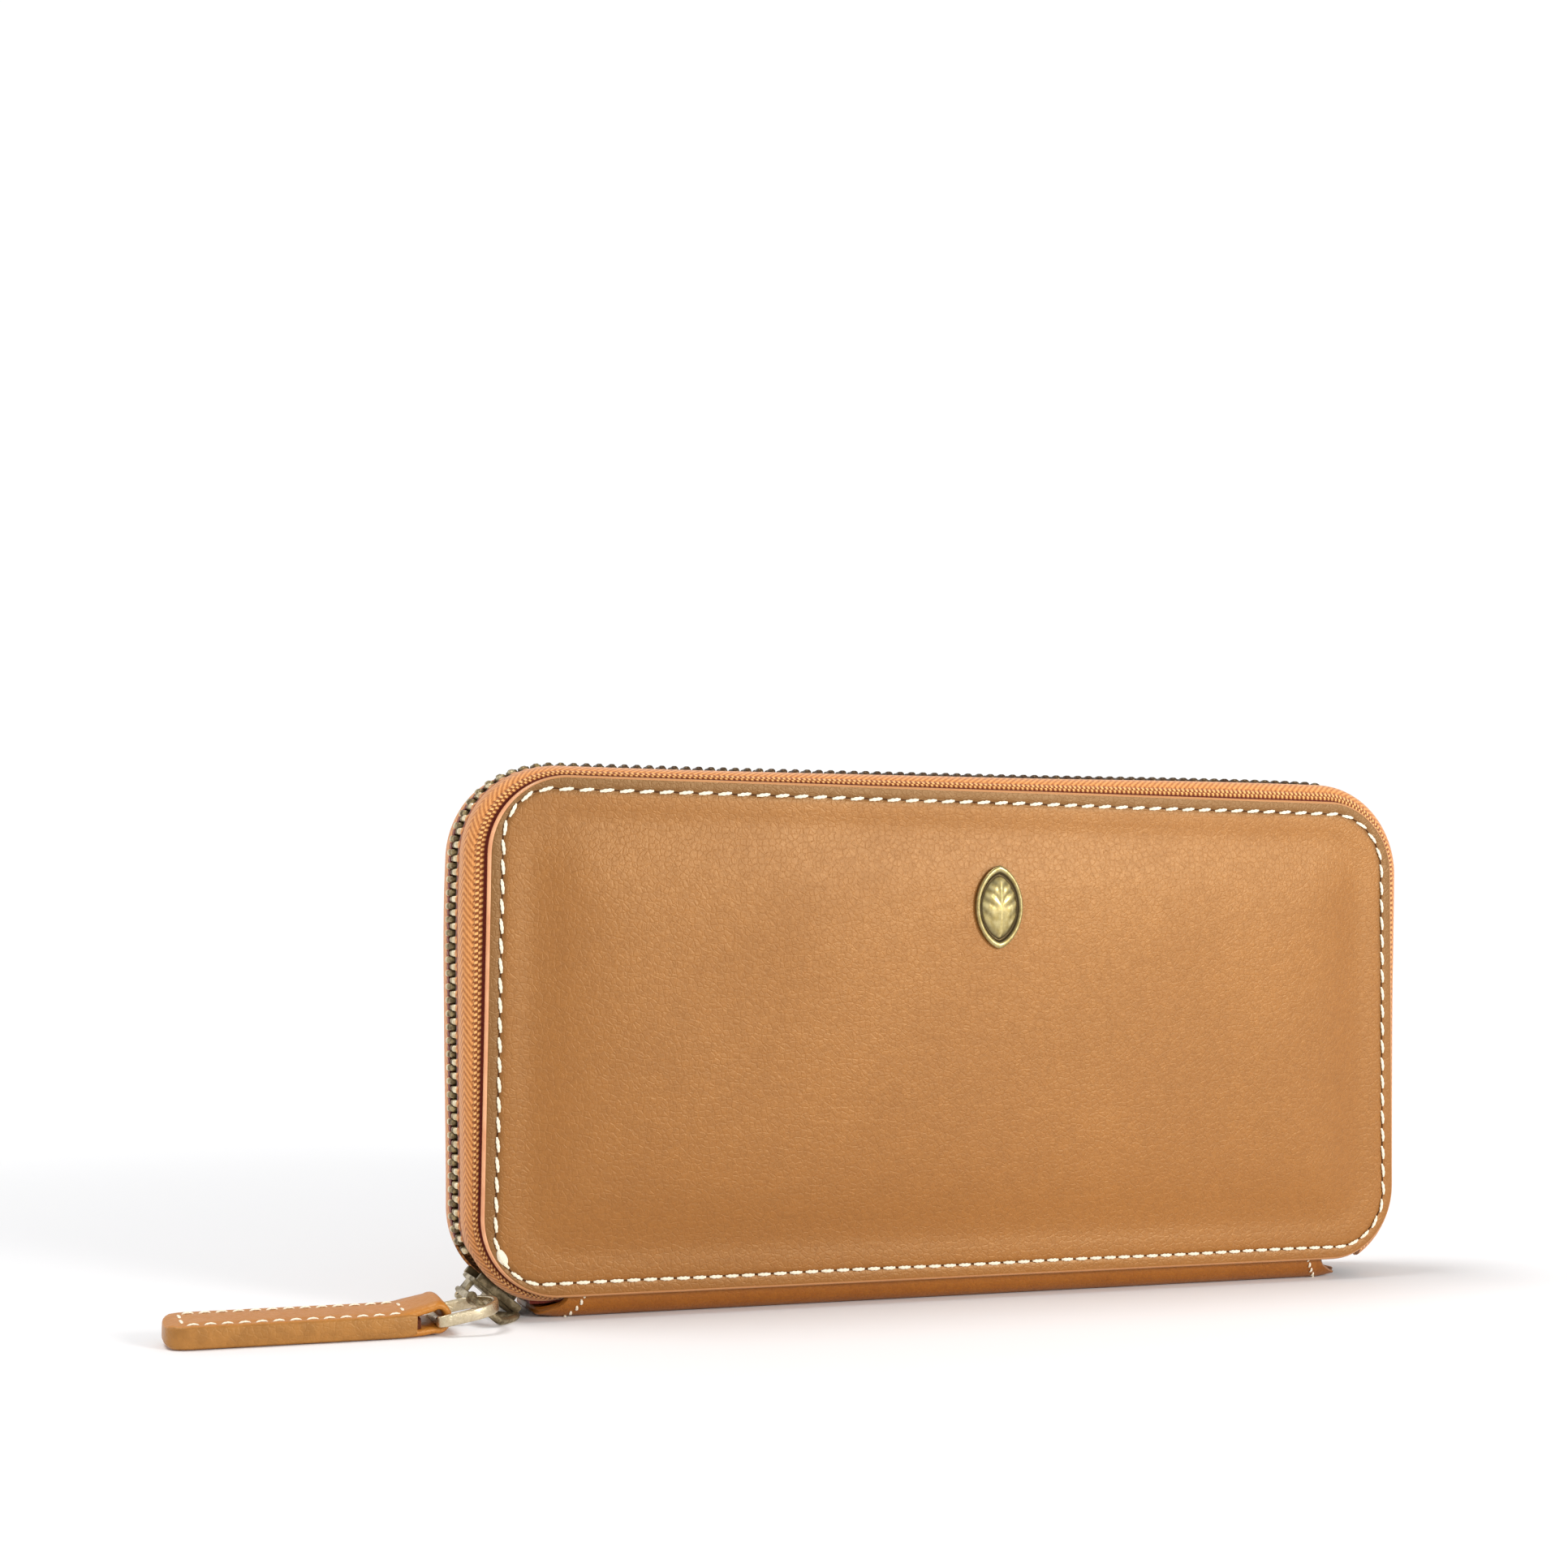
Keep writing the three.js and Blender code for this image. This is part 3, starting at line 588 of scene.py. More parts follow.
def rim_at(run):
    """Centre and outward direction (x, z) at a distance along the zip from its start."""
    run = np.asarray(run, float) + RIM_START
    low, high, x0, x1 = TURN_LOW, TURN_HIGH, -TURN_X, TURN_X
    corners = [(x0, low), (x0, low), (x0, high), (x0, high), (x1, high), (x1, high), (x1, low),
               (x1, low)]
    turns = [270, 180, 180, 90, 90, 0, 0, -90]
    stops = np.cumsum([0, TURN_RUN, SIDE_RUN, TURN_RUN, TOP_RUN, TURN_RUN, SIDE_RUN, TURN_RUN])
    centre = np.c_[np.interp(run, stops, [c[0] for c in corners]),
                   np.interp(run, stops, [c[1] for c in corners])]
    centre[:, 0] += np.where(run < 0, -run, 0) - np.maximum(run - stops[-1], 0)
    angle = np.radians(np.interp(run, stops, turns))
    return centre, np.c_[np.cos(angle), np.sin(angle)]


# the sewn-in zip pulls in a little toward the slider and along the top
PULLED_IN = [(-24, 2.3), (-14, 1.7), (0, 1.3), (12, 1.1), (40, 0.2), (66, -0.4), (84, 0.0),
             (104, 1.5), (190, 0.7), (262, -0.3), (292, -0.3), (330, 0.5), (380, 1.0)]


def along_top(run):
    """1 along the top, fading to 0 round both upper corners."""
    return float(smooth_through([84, 116, 262, 288], [0, 1, 1, 0], run))


def on_rim(run, out, y):
    centre, away = rim_at(run)
    out = np.asarray(out, float)
    out = out - smooth_through(*zip(*PULLED_IN), run) * np.clip(out / 3.2, 0, 1)
    spot = centre + away * (CORNER + out)[:, None]
    return np.c_[spot[:, 0], np.broadcast_to(y, len(spot)), spot[:, 1]]


TAPE_CURVE = [(-4.5, -4.5, -9.75), (-1.0, -1.0, -9.75), (0.0, 0.0, -9.72), (0.8, 0.8, -9.6),
              (1.7, 1.65, -9.3), (2.5, 2.35, -8.8), (3.3, 2.85, -8.2), (4.1, 3.1, -7.45),
              (5.0, 3.2, -6.6), (7.0, 3.2, -4.6), (8.0, 3.2, -3.6), (8.8, 3.1, -2.8)]
TAPE_OUTSIDE = [-4.5, -2.0, -0.6, 0.0, 0.2, 0.35, 0.5, 0.65, 0.8, 0.95, 1.1, 1.25, 1.4, 1.55,
                1.75, 2.0, 2.4, 2.8, 3.3, 3.9, 4.6, 5.4, 6.2, 6.8, 7.1, 7.4, 7.7, 8.0, 8.3, 8.55,
                8.75]
TAPE_INSIDE = [8.6, 7.6, 6.0, 4.1, 3.0, 2.0, 1.0, 0.0, -2.0, -4.4]
TAPE_HALF, TAPE_WIDE = 0.3, 8.8


def tape_spot(across):
    w, n, y = (np.array(c) for c in zip(*TAPE_CURVE))
    return smooth_through(w, n, across), smooth_through(w, y, across)


def make_tape(side, half, first_tooth):
    tape = Stock()
    # beyond the slider only the sewn edge goes on round the corner, under the spine's end
    runs = np.arange(-22.0, ZIP_RUN + 6.0, TOOTH_PITCH / 6)
    rows, run_marks, across_marks = [], [], []
    for run in runs:
        kept = float(smooth_through([-24, -9, 0.5, 4.5, 400],
                                    [3.6, 4.0, 4.8, TAPE_WIDE, TAPE_WIDE], run))
        if run > ZIP_RUN:
            kept = TAPE_WIDE - 4.0 * min(1.0, (run - ZIP_RUN) / 6.0)
        outer = np.array([min(w, kept) if w > 2 else w for w in TAPE_OUTSIDE])
        inner = np.array([min(w, kept) if w > 2 else w for w in TAPE_INSIDE])
        line = np.r_[outer, inner]
        n, y = tape_spot(line)
        ahead_n, ahead_y = tape_spot(line + 0.05)
        back_n, back_y = tape_spot(line - 0.05)
        tn, ty = ahead_n - back_n, ahead_y - back_y
        size = np.hypot(tn, ty) + 1e-9
        off_n, off_y = ty / size, -tn / size
        face = np.r_[np.full(len(outer), TAPE_HALF), np.full(len(inner), -TAPE_HALF)]
        w = np.r_[outer, np.full(len(inner), -9.0)]
        face += 0.17 * np.exp(-((w - 0.72) / 0.2) ** 2) + 0.17 * np.exp(-((w - 1.25) / 0.2) ** 2)
        face -= 0.25 * np.exp(-((w - 0.1) / 0.35) ** 2)
        face -= 0.10 * np.exp(-((w - 1.72) / 0.16) ** 2)
        beat = 0.5 + 0.5 * math.cos(2 * math.pi * (run - first_tooth) / TOOTH_PITCH)
        if kept > 8.5:
            lump = (0.30 - 0.22 * along_top(run)) * beat
            face += lump * np.exp(-((w - 8.0) / 0.5) ** 2)
            face -= 0.16 * np.exp(-((w - 7.25) / 0.25) ** 2)
        n, y = n + off_n * face, y + off_y * face
        tucked = 1.3 * float(smooth_through([-24, -19, -8, 400], [1, 1, 0, 0], run))
        spots = on_rim(np.full(len(n), run), n, -side * (y + tucked))
        rows.append(spots)
        run_marks.append(np.full(len(n), run - first_tooth + TOOTH_PITCH * 400))
        across_marks.append(np.r_[outer, inner])
    tape.skin(rows, along=np.array(run_marks), across=np.array(across_marks))
    tape.piece(f"zip_tape_{half}", [tape_weave], f"{half}_half",
               (f"{half}_zip_tape",), sharp=80)


TAPE_LIGHT, TAPE_DEEP, TAPE_SHADOW_RED = (0.84, 0.38, 0.120), (0.36, 0.105, 0.018), (0.150, 0.016, 0.005)
tape_weave = Finish("zip_tape_weave", Roughness=0.72, Specular_IOR_Level=0.25, Sheen_Weight=0.25)
run_in, across_in = tape_weave.mark("along"), tape_weave.mark("across")
FULL = 2 * math.pi
slant = abs(across_in - 3.6)
twill = ((run_in / 1.35 + slant) * FULL).wave() * 0.5 + 0.5
yarn = (across_in / 0.34 * FULL).wave() * 0.5 + 0.5
fuzz = tape_weave.patches(0.5, 3.0)
cloth_tone = tape_weave.mix(twill * 0.62 + yarn * 0.14 + fuzz * 0.24, TAPE_DEEP, TAPE_LIGHT)
row_side = (across_in > 0.98) * math.pi
dots = (run_in / 1.05 * FULL + row_side + across_in * 2.2).wave()
chain = tape_weave.between(dots, -0.35, 0.55)
chain_tone = tape_weave.mix(chain, (0.26, 0.064, 0.010), (0.92, 0.50, 0.17))
in_chain = tape_weave.between(across_in, 1.50, 1.68)
tone = tape_weave.mix(in_chain, chain_tone, cloth_tone)
gaps = tape_weave.between((run_in / 1.05 * FULL + across_in * 5.0).wave(), 0.1, 0.8)
seam_line = tape_weave.between(abs(across_in - 1.75), 0.22, 0.06)
row_gap = tape_weave.between(abs(across_in - 0.98), 0.12, 0.02)
tone = tape_weave.mix((seam_line * gaps).most(row_gap * 0.7) * 0.85, tone, (0.16, 0.035, 0.008))
# Painted shadow in dark red: along the gap at the cover's edge, in the slots between the teeth, and
# along the line where the teeth meet the tape.
cover_gap_shadow = tape_weave.between(across_in, 0.52, 0.24)
beat = (run_in / TOOTH_PITCH * FULL + math.pi / 2).wave()
slots = tape_weave.between(beat, 0.25, -0.35) * tape_weave.between(across_in, 7.3, 7.75)
slots = slots.most(tape_weave.between(abs(across_in - 7.25), 0.35, 0.12) * 0.75)
tone = tape_weave.mix(cover_gap_shadow.most(slots), tone, TAPE_SHADOW_RED)
lumps = tape_weave.between(across_in, 7.5, 7.9) * tape_weave.between(beat, 0.0, 0.8)
tone = tape_weave.mix(lumps * 0.7, tone, (0.62, 0.29, 0.12))
tape_weave.set(Base_Color=tone)
tape_weave.raised(twill * 0.6 + yarn * 0.25 + chain * (1 - in_chain) + fuzz * 0.3, 0.12, 0.7)

for side, half in HALVES:
    make_tape(side, half, FIRST_TOOTH[half])


# --- Teeth -------------------------------------------------------------------
# Separate brass teeth clamped on the corded edge of each tape, one every 2.5 mm,
# the front ones between the back ones. Old-brass plating, rubbed in patches, with a painted
# highlight near the tape and dark brown along the top.
old_brass = Finish("old_brass_teeth", Metallic=0.55, Specular_IOR_Level=0.4)
rubbed = old_brass.patches(1.4, 4.0, low=0.35, high=0.7)
root = old_brass.mark("root")
brass_tone = old_brass.mix(rubbed, (0.12, 0.075, 0.028), (0.42, 0.31, 0.13))
# Painted highlight: the teeth are painted pale cream near the tape, where their faces catch the
# light.
painted_glint_tone = old_brass.mix(rubbed, (0.60, 0.47, 0.27), (0.92, 0.82, 0.58))
darker_along_top = old_brass.between(root, -0.1, -1.0)
glint_and_wear_tone = old_brass.mix(root, brass_tone, painted_glint_tone)
old_brass.set(Base_Color=old_brass.mix(darker_along_top * 0.8, glint_and_wear_tone, (0.050, 0.022, 0.012)),
              Roughness=old_brass.between(rubbed, 0.0, 1.0, 0.52, 0.30))
old_brass.raised(old_brass.cloud(0.4), 0.03, 0.5)

# along y from the tape to the tip: half width along the zip, lowest and highest reach, painted
# highlight
TOOTH = [(-3.55, 0.30, 3.00, 3.50, 1.0), (-3.35, 0.52, 2.60, 3.90, 1.0),
         (-2.80, 0.62, 2.35, 4.10, 1.0), (-2.30, 0.62, 2.30, 4.12, 0.7),
         (-1.50, 0.60, 2.30, 4.02, 0.0), (-1.00, 0.44, 2.45, 3.75, 0.0),
         (-0.45, 0.55, 2.35, 3.92, 0.0), (0.15, 0.54, 2.35, 3.90, 0.0),
         (0.42, 0.34, 2.70, 3.60, 0.1)]
TOP_STAND = 0.38


def make_teeth(side, half, first):
    """Along the top, where the tape lies lower, the teeth stand clear of its edge."""
    teeth = Stock()
    for run in np.arange(first, ZIP_RUN - 0.5, TOOTH_PITCH):
        rows, marks = [], []
        clear = along_top(run)
        for y, wide, low, high, bright in TOOTH:
            low, high = low + TOP_STAND * clear, high + TOP_STAND * clear
            # along the top the painted highlight gives way to a dark brown
            bright = bright * (1 - clear) - clear
            a = np.linspace(0, 2 * math.pi, 12, endpoint=False) + math.pi / 12
            c, s = np.cos(a), np.sin(a)
            c, s = np.sign(c) * np.abs(c) ** 0.6, np.sign(s) * np.abs(s) ** 0.6
            rows.append(on_rim(run + wide * c, (low + high) / 2 + (high - low) / 2 * s, -side * y))
            marks.append(np.full(12, bright))
        teeth.skin(rows, root=np.array(marks))
    teeth.piece(f"zip_teeth_{half}", [old_brass], f"{half}_half",
                (f"{half}_zip_teeth",), sharp=60)


for side, half in HALVES:
    make_teeth(side, half, FIRST_TOOTH[half])


# --- Slider ------------------------------------------------------------------
# A cast slider in old brass round both rows of teeth: an outer and an inner
# plate on a wedge, the outer one with folded sides and two lugs for the bail.
SLIDER_COS, SLIDER_SIN = math.cos(math.radians(49)), math.sin(math.radians(49))
PLATE_HALF, PIVOT, BORE = 4.85, 6.6, 0.9


def by_slider(u, y, n):
    """A point beside the slider: u along the zip, y across, n out from the cover's edge."""
    u, y, n = np.broadcast_arrays(*(np.asarray(v, float) for v in (u, y, n)))
    x = -TURN_X + SLIDER_SIN * u - SLIDER_COS * (CORNER + n)
    z = TURN_LOW - SLIDER_COS * u - SLIDER_SIN * (CORNER + n)
    return np.stack([x, y, z], axis=-1)


antique = Finish("antique_brass", Metallic=0.85)
tarnish = antique.patches(3.0, 5.0, 0.6, low=0.35, high=0.66)
nicks = antique.between(antique.cells(0.9), 0.05, 0.2)
antique.set(Base_Color=antique.mix(tarnish * nicks, (0.120, 0.088, 0.045), (0.50, 0.41, 0.25)),
            Roughness=antique.between(tarnish, 0.0, 1.0, 0.55, 0.33))
antique.raised(antique.cloud(0.8, 4.0) + nicks * 0.4, 0.05, 0.5)


def rounded_row(stock, stations, frame_at, corner=0.35, steps=3):
    """A bar with rounded corners: each station is (place, low_a, high_a, low_b, high_b)."""
    rows = []
    for spot, a0, a1, b0, b1 in stations:
        r = min(corner, (a1 - a0) / 2.02, (b1 - b0) / 2.02)
        row = []
        for ca, cb, start in ((a1 - r, b1 - r, 0), (a0 + r, b1 - r, 90), (a0 + r, b0 + r, 180),
                              (a1 - r, b0 + r, 270)):
            for t in np.linspace(0, 90, steps):
                g = math.radians(start + t)
                row.append(frame_at(spot, ca + r * math.cos(g), cb + r * math.sin(g)))
        rows.append(row)
    stock.skin(rows)


def eased_ends(start, end, ease=0.4):
    """Stations along a bar with softened ends: (place, inset)."""
    return [(start, ease), (start + 0.3 * ease, 0.4 * ease), (start + ease, 0.0),
            ((start + end) / 2, 0.0), (end - ease, 0.0), (end - 0.3 * ease, 0.4 * ease),
            (end, ease)]


def ring_plate(stock, outer, inner, low, high, frame_at, bevel=0.15):
    """A flat plate with a hole in it."""
    outer, inner = np.array(outer), np.array(inner)
    mid = inner.mean(axis=0)
    shrink = outer + (mid - outer) / np.linalg.norm(mid - outer, axis=1)[:, None] * bevel
    grow = inner + (inner - mid) / np.linalg.norm(inner - mid, axis=1)[:, None] * bevel
    loops = [(shrink, low), (outer, low + bevel), (outer, high - bevel), (shrink, high),
             (grow, high), (inner, high - bevel), (inner, low + bevel), (grow, low)]
    stock.loop([[frame_at(level, a, b) for a, b in loop] for loop, level in loops])


slider = Stock()
for n0, n1, half in ((3.05, 4.15, PLATE_HALF), (-0.7, 0.3, 4.3)):
    stations = []
    for u, inset in eased_ends(-2.9, 7.2, 0.9):
        wide = half - 0.5 * inset - (0.35 if u < 0 else 0.0)
        stations.append((u, -wide, wide, n0 + 0.25 * inset, n1 - 0.25 * inset))
    rounded_row(slider, stations, by_slider, 0.4)
for side in (-1, 1):
    stations = [(u, side * PLATE_HALF - 0.5, side * PLATE_HALF + 0.35,
                 1.75 + inset * 0.3, 3.45 - 0.2 * inset)
                for u, inset in eased_ends(-2.8, 7.3, 0.6)]
    rounded_row(slider, stations, by_slider, 0.25)
    stations = [(u, side * 3.9 - 0.4, side * 3.9 + 0.4, -0.5, 0.9 - inset * 0.4)
                for u, inset in eased_ends(-2.4, 6.8, 0.6)]
    rounded_row(slider, stations, by_slider, 0.2)
WEDGE = [(1.0, 0.2), (2.4, 0.8), (4.2, 1.15), (6.6, 0.9)]
rounded_row(slider, [(u, -w, w, 0.0, 3.4) for u, w in WEDGE], by_slider, 0.2)
lug = [(-1.7, 3.9), (-1.7, PIVOT)]
lug += [(1.7 * -math.cos(t), PIVOT + 1.45 * math.sin(t))
        for t in np.linspace(0.25, math.pi - 0.25, 11)]
lug += [(1.7, PIVOT), (1.7, 3.9), (0.6, 3.9), (-0.6, 3.9)]
bore_turns = [math.atan2(b - PIVOT, a) for a, b in lug]
bore = [(BORE * math.cos(t), PIVOT + BORE * math.sin(t)) for t in bore_turns]
for low in (-2.5, 1.6):
    ring_plate(slider, lug, bore, low, low + 0.9, by_slider)
slider.piece("zip_slider", [antique], "zip_slider", ("zip_slider_body",), sharp=40)


# --- Bail and ring -----------------------------------------------------------
# The bail is a flattened brass wire sprung into the lugs, with a ball on one end.
# The ring is a D of flat polished brass strip that hangs in it and holds the tab.
def sweep(stock, path, sections, up, loop=False):
    """A strip along a path; each section is a list of (side, up) offsets."""
    path = np.asarray(path, float)
    if loop:
        ahead = np.roll(path, -1, axis=0) - np.roll(path, 1, axis=0)
    else:
        ahead = np.gradient(path, axis=0)
    ahead /= np.linalg.norm(ahead, axis=1)[:, None]
    up = np.broadcast_to(np.asarray(up, float), path.shape)
    side = np.cross(ahead, up)
    side /= np.linalg.norm(side, axis=1)[:, None]
    lift = np.cross(side, ahead)
    rows = [p + np.outer([s[0] for s in sec], a) + np.outer([s[1] for s in sec], b)
            for p, sec, a, b in zip(path, sections, side, lift)]
    (stock.loop if loop else stock.skin)(rows)


def oval(half_side, half_up, square=0.75, count=14):
    a = np.linspace(0, 2 * math.pi, count, endpoint=False)
    return [(half_side * math.copysign(abs(math.cos(t)) ** square, math.cos(t)),
             half_up * math.copysign(abs(math.sin(t)) ** square, math.sin(t))) for t in a]


def rounded_line(points, radius, steps=6):
    """An open line with its corners rounded off."""
    points = [np.array(p, float) for p in points]
    out = [points[0]]
    for before, here, after in zip(points, points[1:], points[2:]):
        a, b = before - here, after - here
        r = min(radius, np.linalg.norm(a) / 2, np.linalg.norm(b) / 2)
        start, end = here + a / np.linalg.norm(a) * r, here + b / np.linalg.norm(b) * r
        for t in np.linspace(0, 1, steps):
            out.append(start * (1 - t) ** 2 + 2 * here * t * (1 - t) + end * t**2)
    return np.array(out + [points[-1]])


HALF_BAIL = [(0.35, 0.15), (0.9, 0.0), (2.2, 0.0), (2.9, -0.3), (3.3, -1.1), (3.3, -5.0),
             (3.3, -12.3), (2.9, -13.15), (2.1, -13.5)]
bail_line = [(-u, y, PIVOT) for u, y in HALF_BAIL]
bail_line += [(2.1, -13.5, PIVOT), (3.3, -12.7, 6.5), (4.9, -10.8, 5.6), (6.4, -8.6, 4.1),
              (6.9, -7.0, 3.5), (6.3, -5.5, 4.6), (4.6, -3.2, 5.9), (3.2, -1.1, 6.5)]
bail_line += [(u, y, PIVOT) for u, y in HALF_BAIL[2::-1]]
bail_line = rounded_line(bail_line, 1.0, 5)
dense = [bail_line[0]]
for a, b in zip(bail_line, bail_line[1:]):
    pieces_between = max(1, int(np.linalg.norm(b - a) / 0.5))
    dense += [a + (b - a) * (k + 1) / pieces_between for k in range(pieces_between)]
bail_line = np.array(dense)
bail = Stock()
flat = np.clip((-bail_line[:, 1] - 1.2) / 3.0, 0, 1)
sweep(bail, by_slider(bail_line[:, 0], bail_line[:, 1], bail_line[:, 2]),
      [oval(0.50 + 0.12 * f, 0.50 + 0.18 * f, 0.8) for f in flat],
      by_slider(0, 0, 1) - by_slider(0, 0, 0))
knob_spot = by_slider(-3.3, -12.2, PIVOT)
bail.skin([knob_spot + np.array([[1.05 * math.sin(t) * math.cos(a),
                                  0.95 * math.sin(t) * math.sin(a), 1.2 * math.cos(t)]
                                 for a in np.linspace(0, 2 * math.pi, 16, endpoint=False)])
           for t in np.linspace(0.02, math.pi - 0.02, 10)])
bail.piece("zip_bail", [antique], "pull_bail_body", ("pull_bail",), sharp=60)

RING_Z, RING_Y, RING_HALF, RING_TILT = 2.6, -15.5, 5.65, 0.175
BAR_X, RING_BEND, RING_END = -107.3, -101.5, -96.2
half_ring = [(RING_BEND + (RING_END - RING_BEND) * math.cos(a), RING_HALF * math.sin(a), 1.15)
             for a in np.radians(np.linspace(0, 90, 21))]
half_ring += [(x, RING_HALF, 1.15) for x in np.linspace(RING_BEND, BAR_X + 1.0, 8)[1:]]
half_ring += [(BAR_X + 1.0 - math.sin(a), RING_HALF - 1 + math.cos(a), 1.05)
              for a in np.radians(np.linspace(0, 90, 5)[1:])]
half_ring += [(BAR_X, y, 0.85) for y in np.linspace(RING_HALF - 1.5, -RING_HALF + 1.5, 12)[:6]]
ring_line = half_ring + [(x, -y, high) for x, y, high in half_ring[:0:-1]]
ring = Stock()
sweep(ring, [(x, RING_Y + y, RING_Z + RING_TILT * (x - BAR_X)) for x, y, _ in ring_line],
      [oval(0.48, high * 0.92, 0.45, 16) for _, _, high in ring_line], (-RING_TILT, 0, 1),
      loop=True)
polished = Finish("polished_brass", Metallic=0.95, Specular_IOR_Level=0.5)
smear = polished.patches(5.0, 4.0, 0.6)
scratch = polished.patches(0.9, 3.0, 0.5, warp=1.5, low=0.42, high=0.58)
polished.set(Base_Color=polished.mix(smear * 0.6 + scratch * 0.3, (0.50, 0.41, 0.26),
                                     (0.74, 0.65, 0.47)),
             Roughness=polished.between(smear, 0.0, 1.0, 0.36, 0.24))
polished.raised(scratch + polished.cloud(2.5) * 0.8, 0.03, 0.45)
ring.piece("pull_ring_strip", [polished], "pull_ring_body", ("pull_ring",),
           sharp=50)


# --- Pull tab ----------------------------------------------------------------
# One strap of the cover leather, turned round the ring's bar and sewn on itself
# over a filler, its edges burnished smooth; 48 mm long and 3.9 mm thick.
TAB_LEFT, TAB_RIGHT, TAB_Y, TAB_HALF = -153.6, -111.2, -15.5, 5.5
TAB_LOW, TAB_TOP = 0.05, 3.95
TAB_ROLL, SIDE_ROUND, FACE_ROUND = 0.085, 0.75, 0.55


def tab_swell(x, *rises):
    """How much the tab thickens toward the ring, where the strap turns."""
    return float(smooth_through([-152, -119, -114, -111], [0.0, 0.0, *rises], x))


tab = Stock()
rows, marks = [], []
for x in np.r_[TAB_LEFT + np.array([0.0, 0.25, 0.7, 1.3, 2.1, 3.0, 4.0, 5.2]),
               np.linspace(-145.5, -115.5, 24), -114.4, -113.4, -112.4, TAB_RIGHT]:
    d = x - TAB_LEFT
    tip = min(1.0, math.sqrt(max(0.0, 1 - (1 - min(d, 4.6) / 4.6) ** 2.6)))
    wide = TAB_HALF * (0.40 + 0.60 * tip) if d < 4.6 else TAB_HALF
    wide *= float(smooth_through([-152, -118, -113, -110], [1, 1, 0.965, 0.90], x))
    top = TAB_TOP + tab_swell(x, 0.12, 0.38)
    low = TAB_LOW + tab_swell(x, 0.0, 0.10)
    squeeze = 0.55 * (1 - min(1.0, d / 1.0)) + (0.35 if x > TAB_RIGHT - 0.1 else 0)
    low, top = low + squeeze, top - squeeze
    row = []
    for ca, cb, start in ((1, 1, 0), (-1, 1, 90), (-1, -1, 180), (1, -1, 270)):
        for t in np.linspace(0, 90, 5):
            g = math.radians(start + t)
            row.append((x, TAB_Y + ca * (wide - SIDE_ROUND) + SIDE_ROUND * math.cos(g),
                        (top - FACE_ROUND if cb > 0 else low + FACE_ROUND)
                        + FACE_ROUND * math.sin(g)))
        if start in (0, 180):
            for k in (0.78, 0.66, 0.4, 0.0, -0.4, -0.66, -0.78):
                y = (wide - SIDE_ROUND) * k * (1 if start == 0 else -1)
                dip = 0.16 * math.exp(-((abs(y) - (wide - 1.55)) / 0.42) ** 2) if d > 2.5 else 0.0
                crown = 0.05 * math.cos(y / wide * 1.5)
                level = top - dip + crown if start == 0 else low + dip
                row.append((x, TAB_Y + y, level))
    rows.append(row)
    marks.append([1.0 if abs(p[1] - TAB_Y) > wide - 0.3 else 0.0 for p in row])
tab.skin(rows, side=np.array(marks))
loop_path = [(-116.0, 3.30), (-113.5, 3.55), (-111.6, 4.0)]
for a in np.linspace(118, -110, 24):
    c, s = math.cos(math.radians(a)), math.sin(math.radians(a))
    loop_path.append((BAR_X + (1.9 if a > 0 else 1.7) * c, RING_Z + (2.45 if a > 0 else 1.75) * s))
loop_path += [(-110.0, 0.72), (-112.5, 0.66), (-115.5, 0.66)]
loop_path = np.array(loop_path)
widths = smooth_through([-115.5, -112.5, -109.0, -105.5], [5.25, 5.0, 4.55, 4.25], loop_path[:, 0])
strap_rows = []
for (x, z), half in zip(loop_path, widths):
    strap_rows.append([(-half, -0.25), (-half, 0.25), (-half + 0.3, 0.58), (-half * 0.5, 0.6),
                       (0, 0.62), (half * 0.5, 0.6), (half - 0.3, 0.58), (half, 0.25),
                       (half, -0.25), (half - 0.3, -0.58), (0, -0.58), (-half + 0.3, -0.58)])
path3 = [(x, TAB_Y, z) for x, z in loop_path]
ahead = np.gradient(loop_path, axis=0)
ups = np.c_[-ahead[:, 1], np.zeros(len(ahead)), ahead[:, 0]]
sweep(tab, path3, strap_rows, ups)
tab_leather = tan_leather("tab_leather", (0.500, 0.186, 0.024), (0.425, 0.150, 0.016))
burnish = tab_leather.mark("side")
side_tone = tab_leather.mix(tab_leather.patches(2.5),
                            (0.295, 0.118, 0.020), (0.370, 0.152, 0.028))
tab_leather.set(Base_Color=tab_leather.mix(burnish, tab_leather.tone, side_tone))


def rolled(stock):
    """The tab lies on its near edge: the far one is held up a little by the ring."""
    for point in stock.points:
        point[2] += TAB_ROLL * (point[1] - (TAB_Y - TAB_HALF))


rolled(tab)
tab.piece("pull_tab", [tab_leather], "pull_tab_body",
          ("pull_tab_strap", "pull_tab_filler"), sharp=60)
filler = Stock()
rounded_row(filler, [(x, -half, half, 1.15, 3.05)
                     for x, half in ((-113.0, 4.6), (-110.9, 4.6), (-110.4, 4.2))],
            lambda x, y, z: (x, TAB_Y + y, z), 0.4)
dark_cut = Finish("cut_leather", Roughness=0.85, Specular_IOR_Level=0.15)
dark_cut.set(Base_Color=dark_cut.mix(dark_cut.patches(0.8, 4.0),
                                     (0.055, 0.012, 0.005), (0.16, 0.045, 0.016)))
dark_cut.raised(dark_cut.cloud(0.5, 4.0), 0.15, 0.8)
rolled(filler)
filler.piece("pull_tab_cut_end", [dark_cut], "pull_tab_body", (), sharp=60)

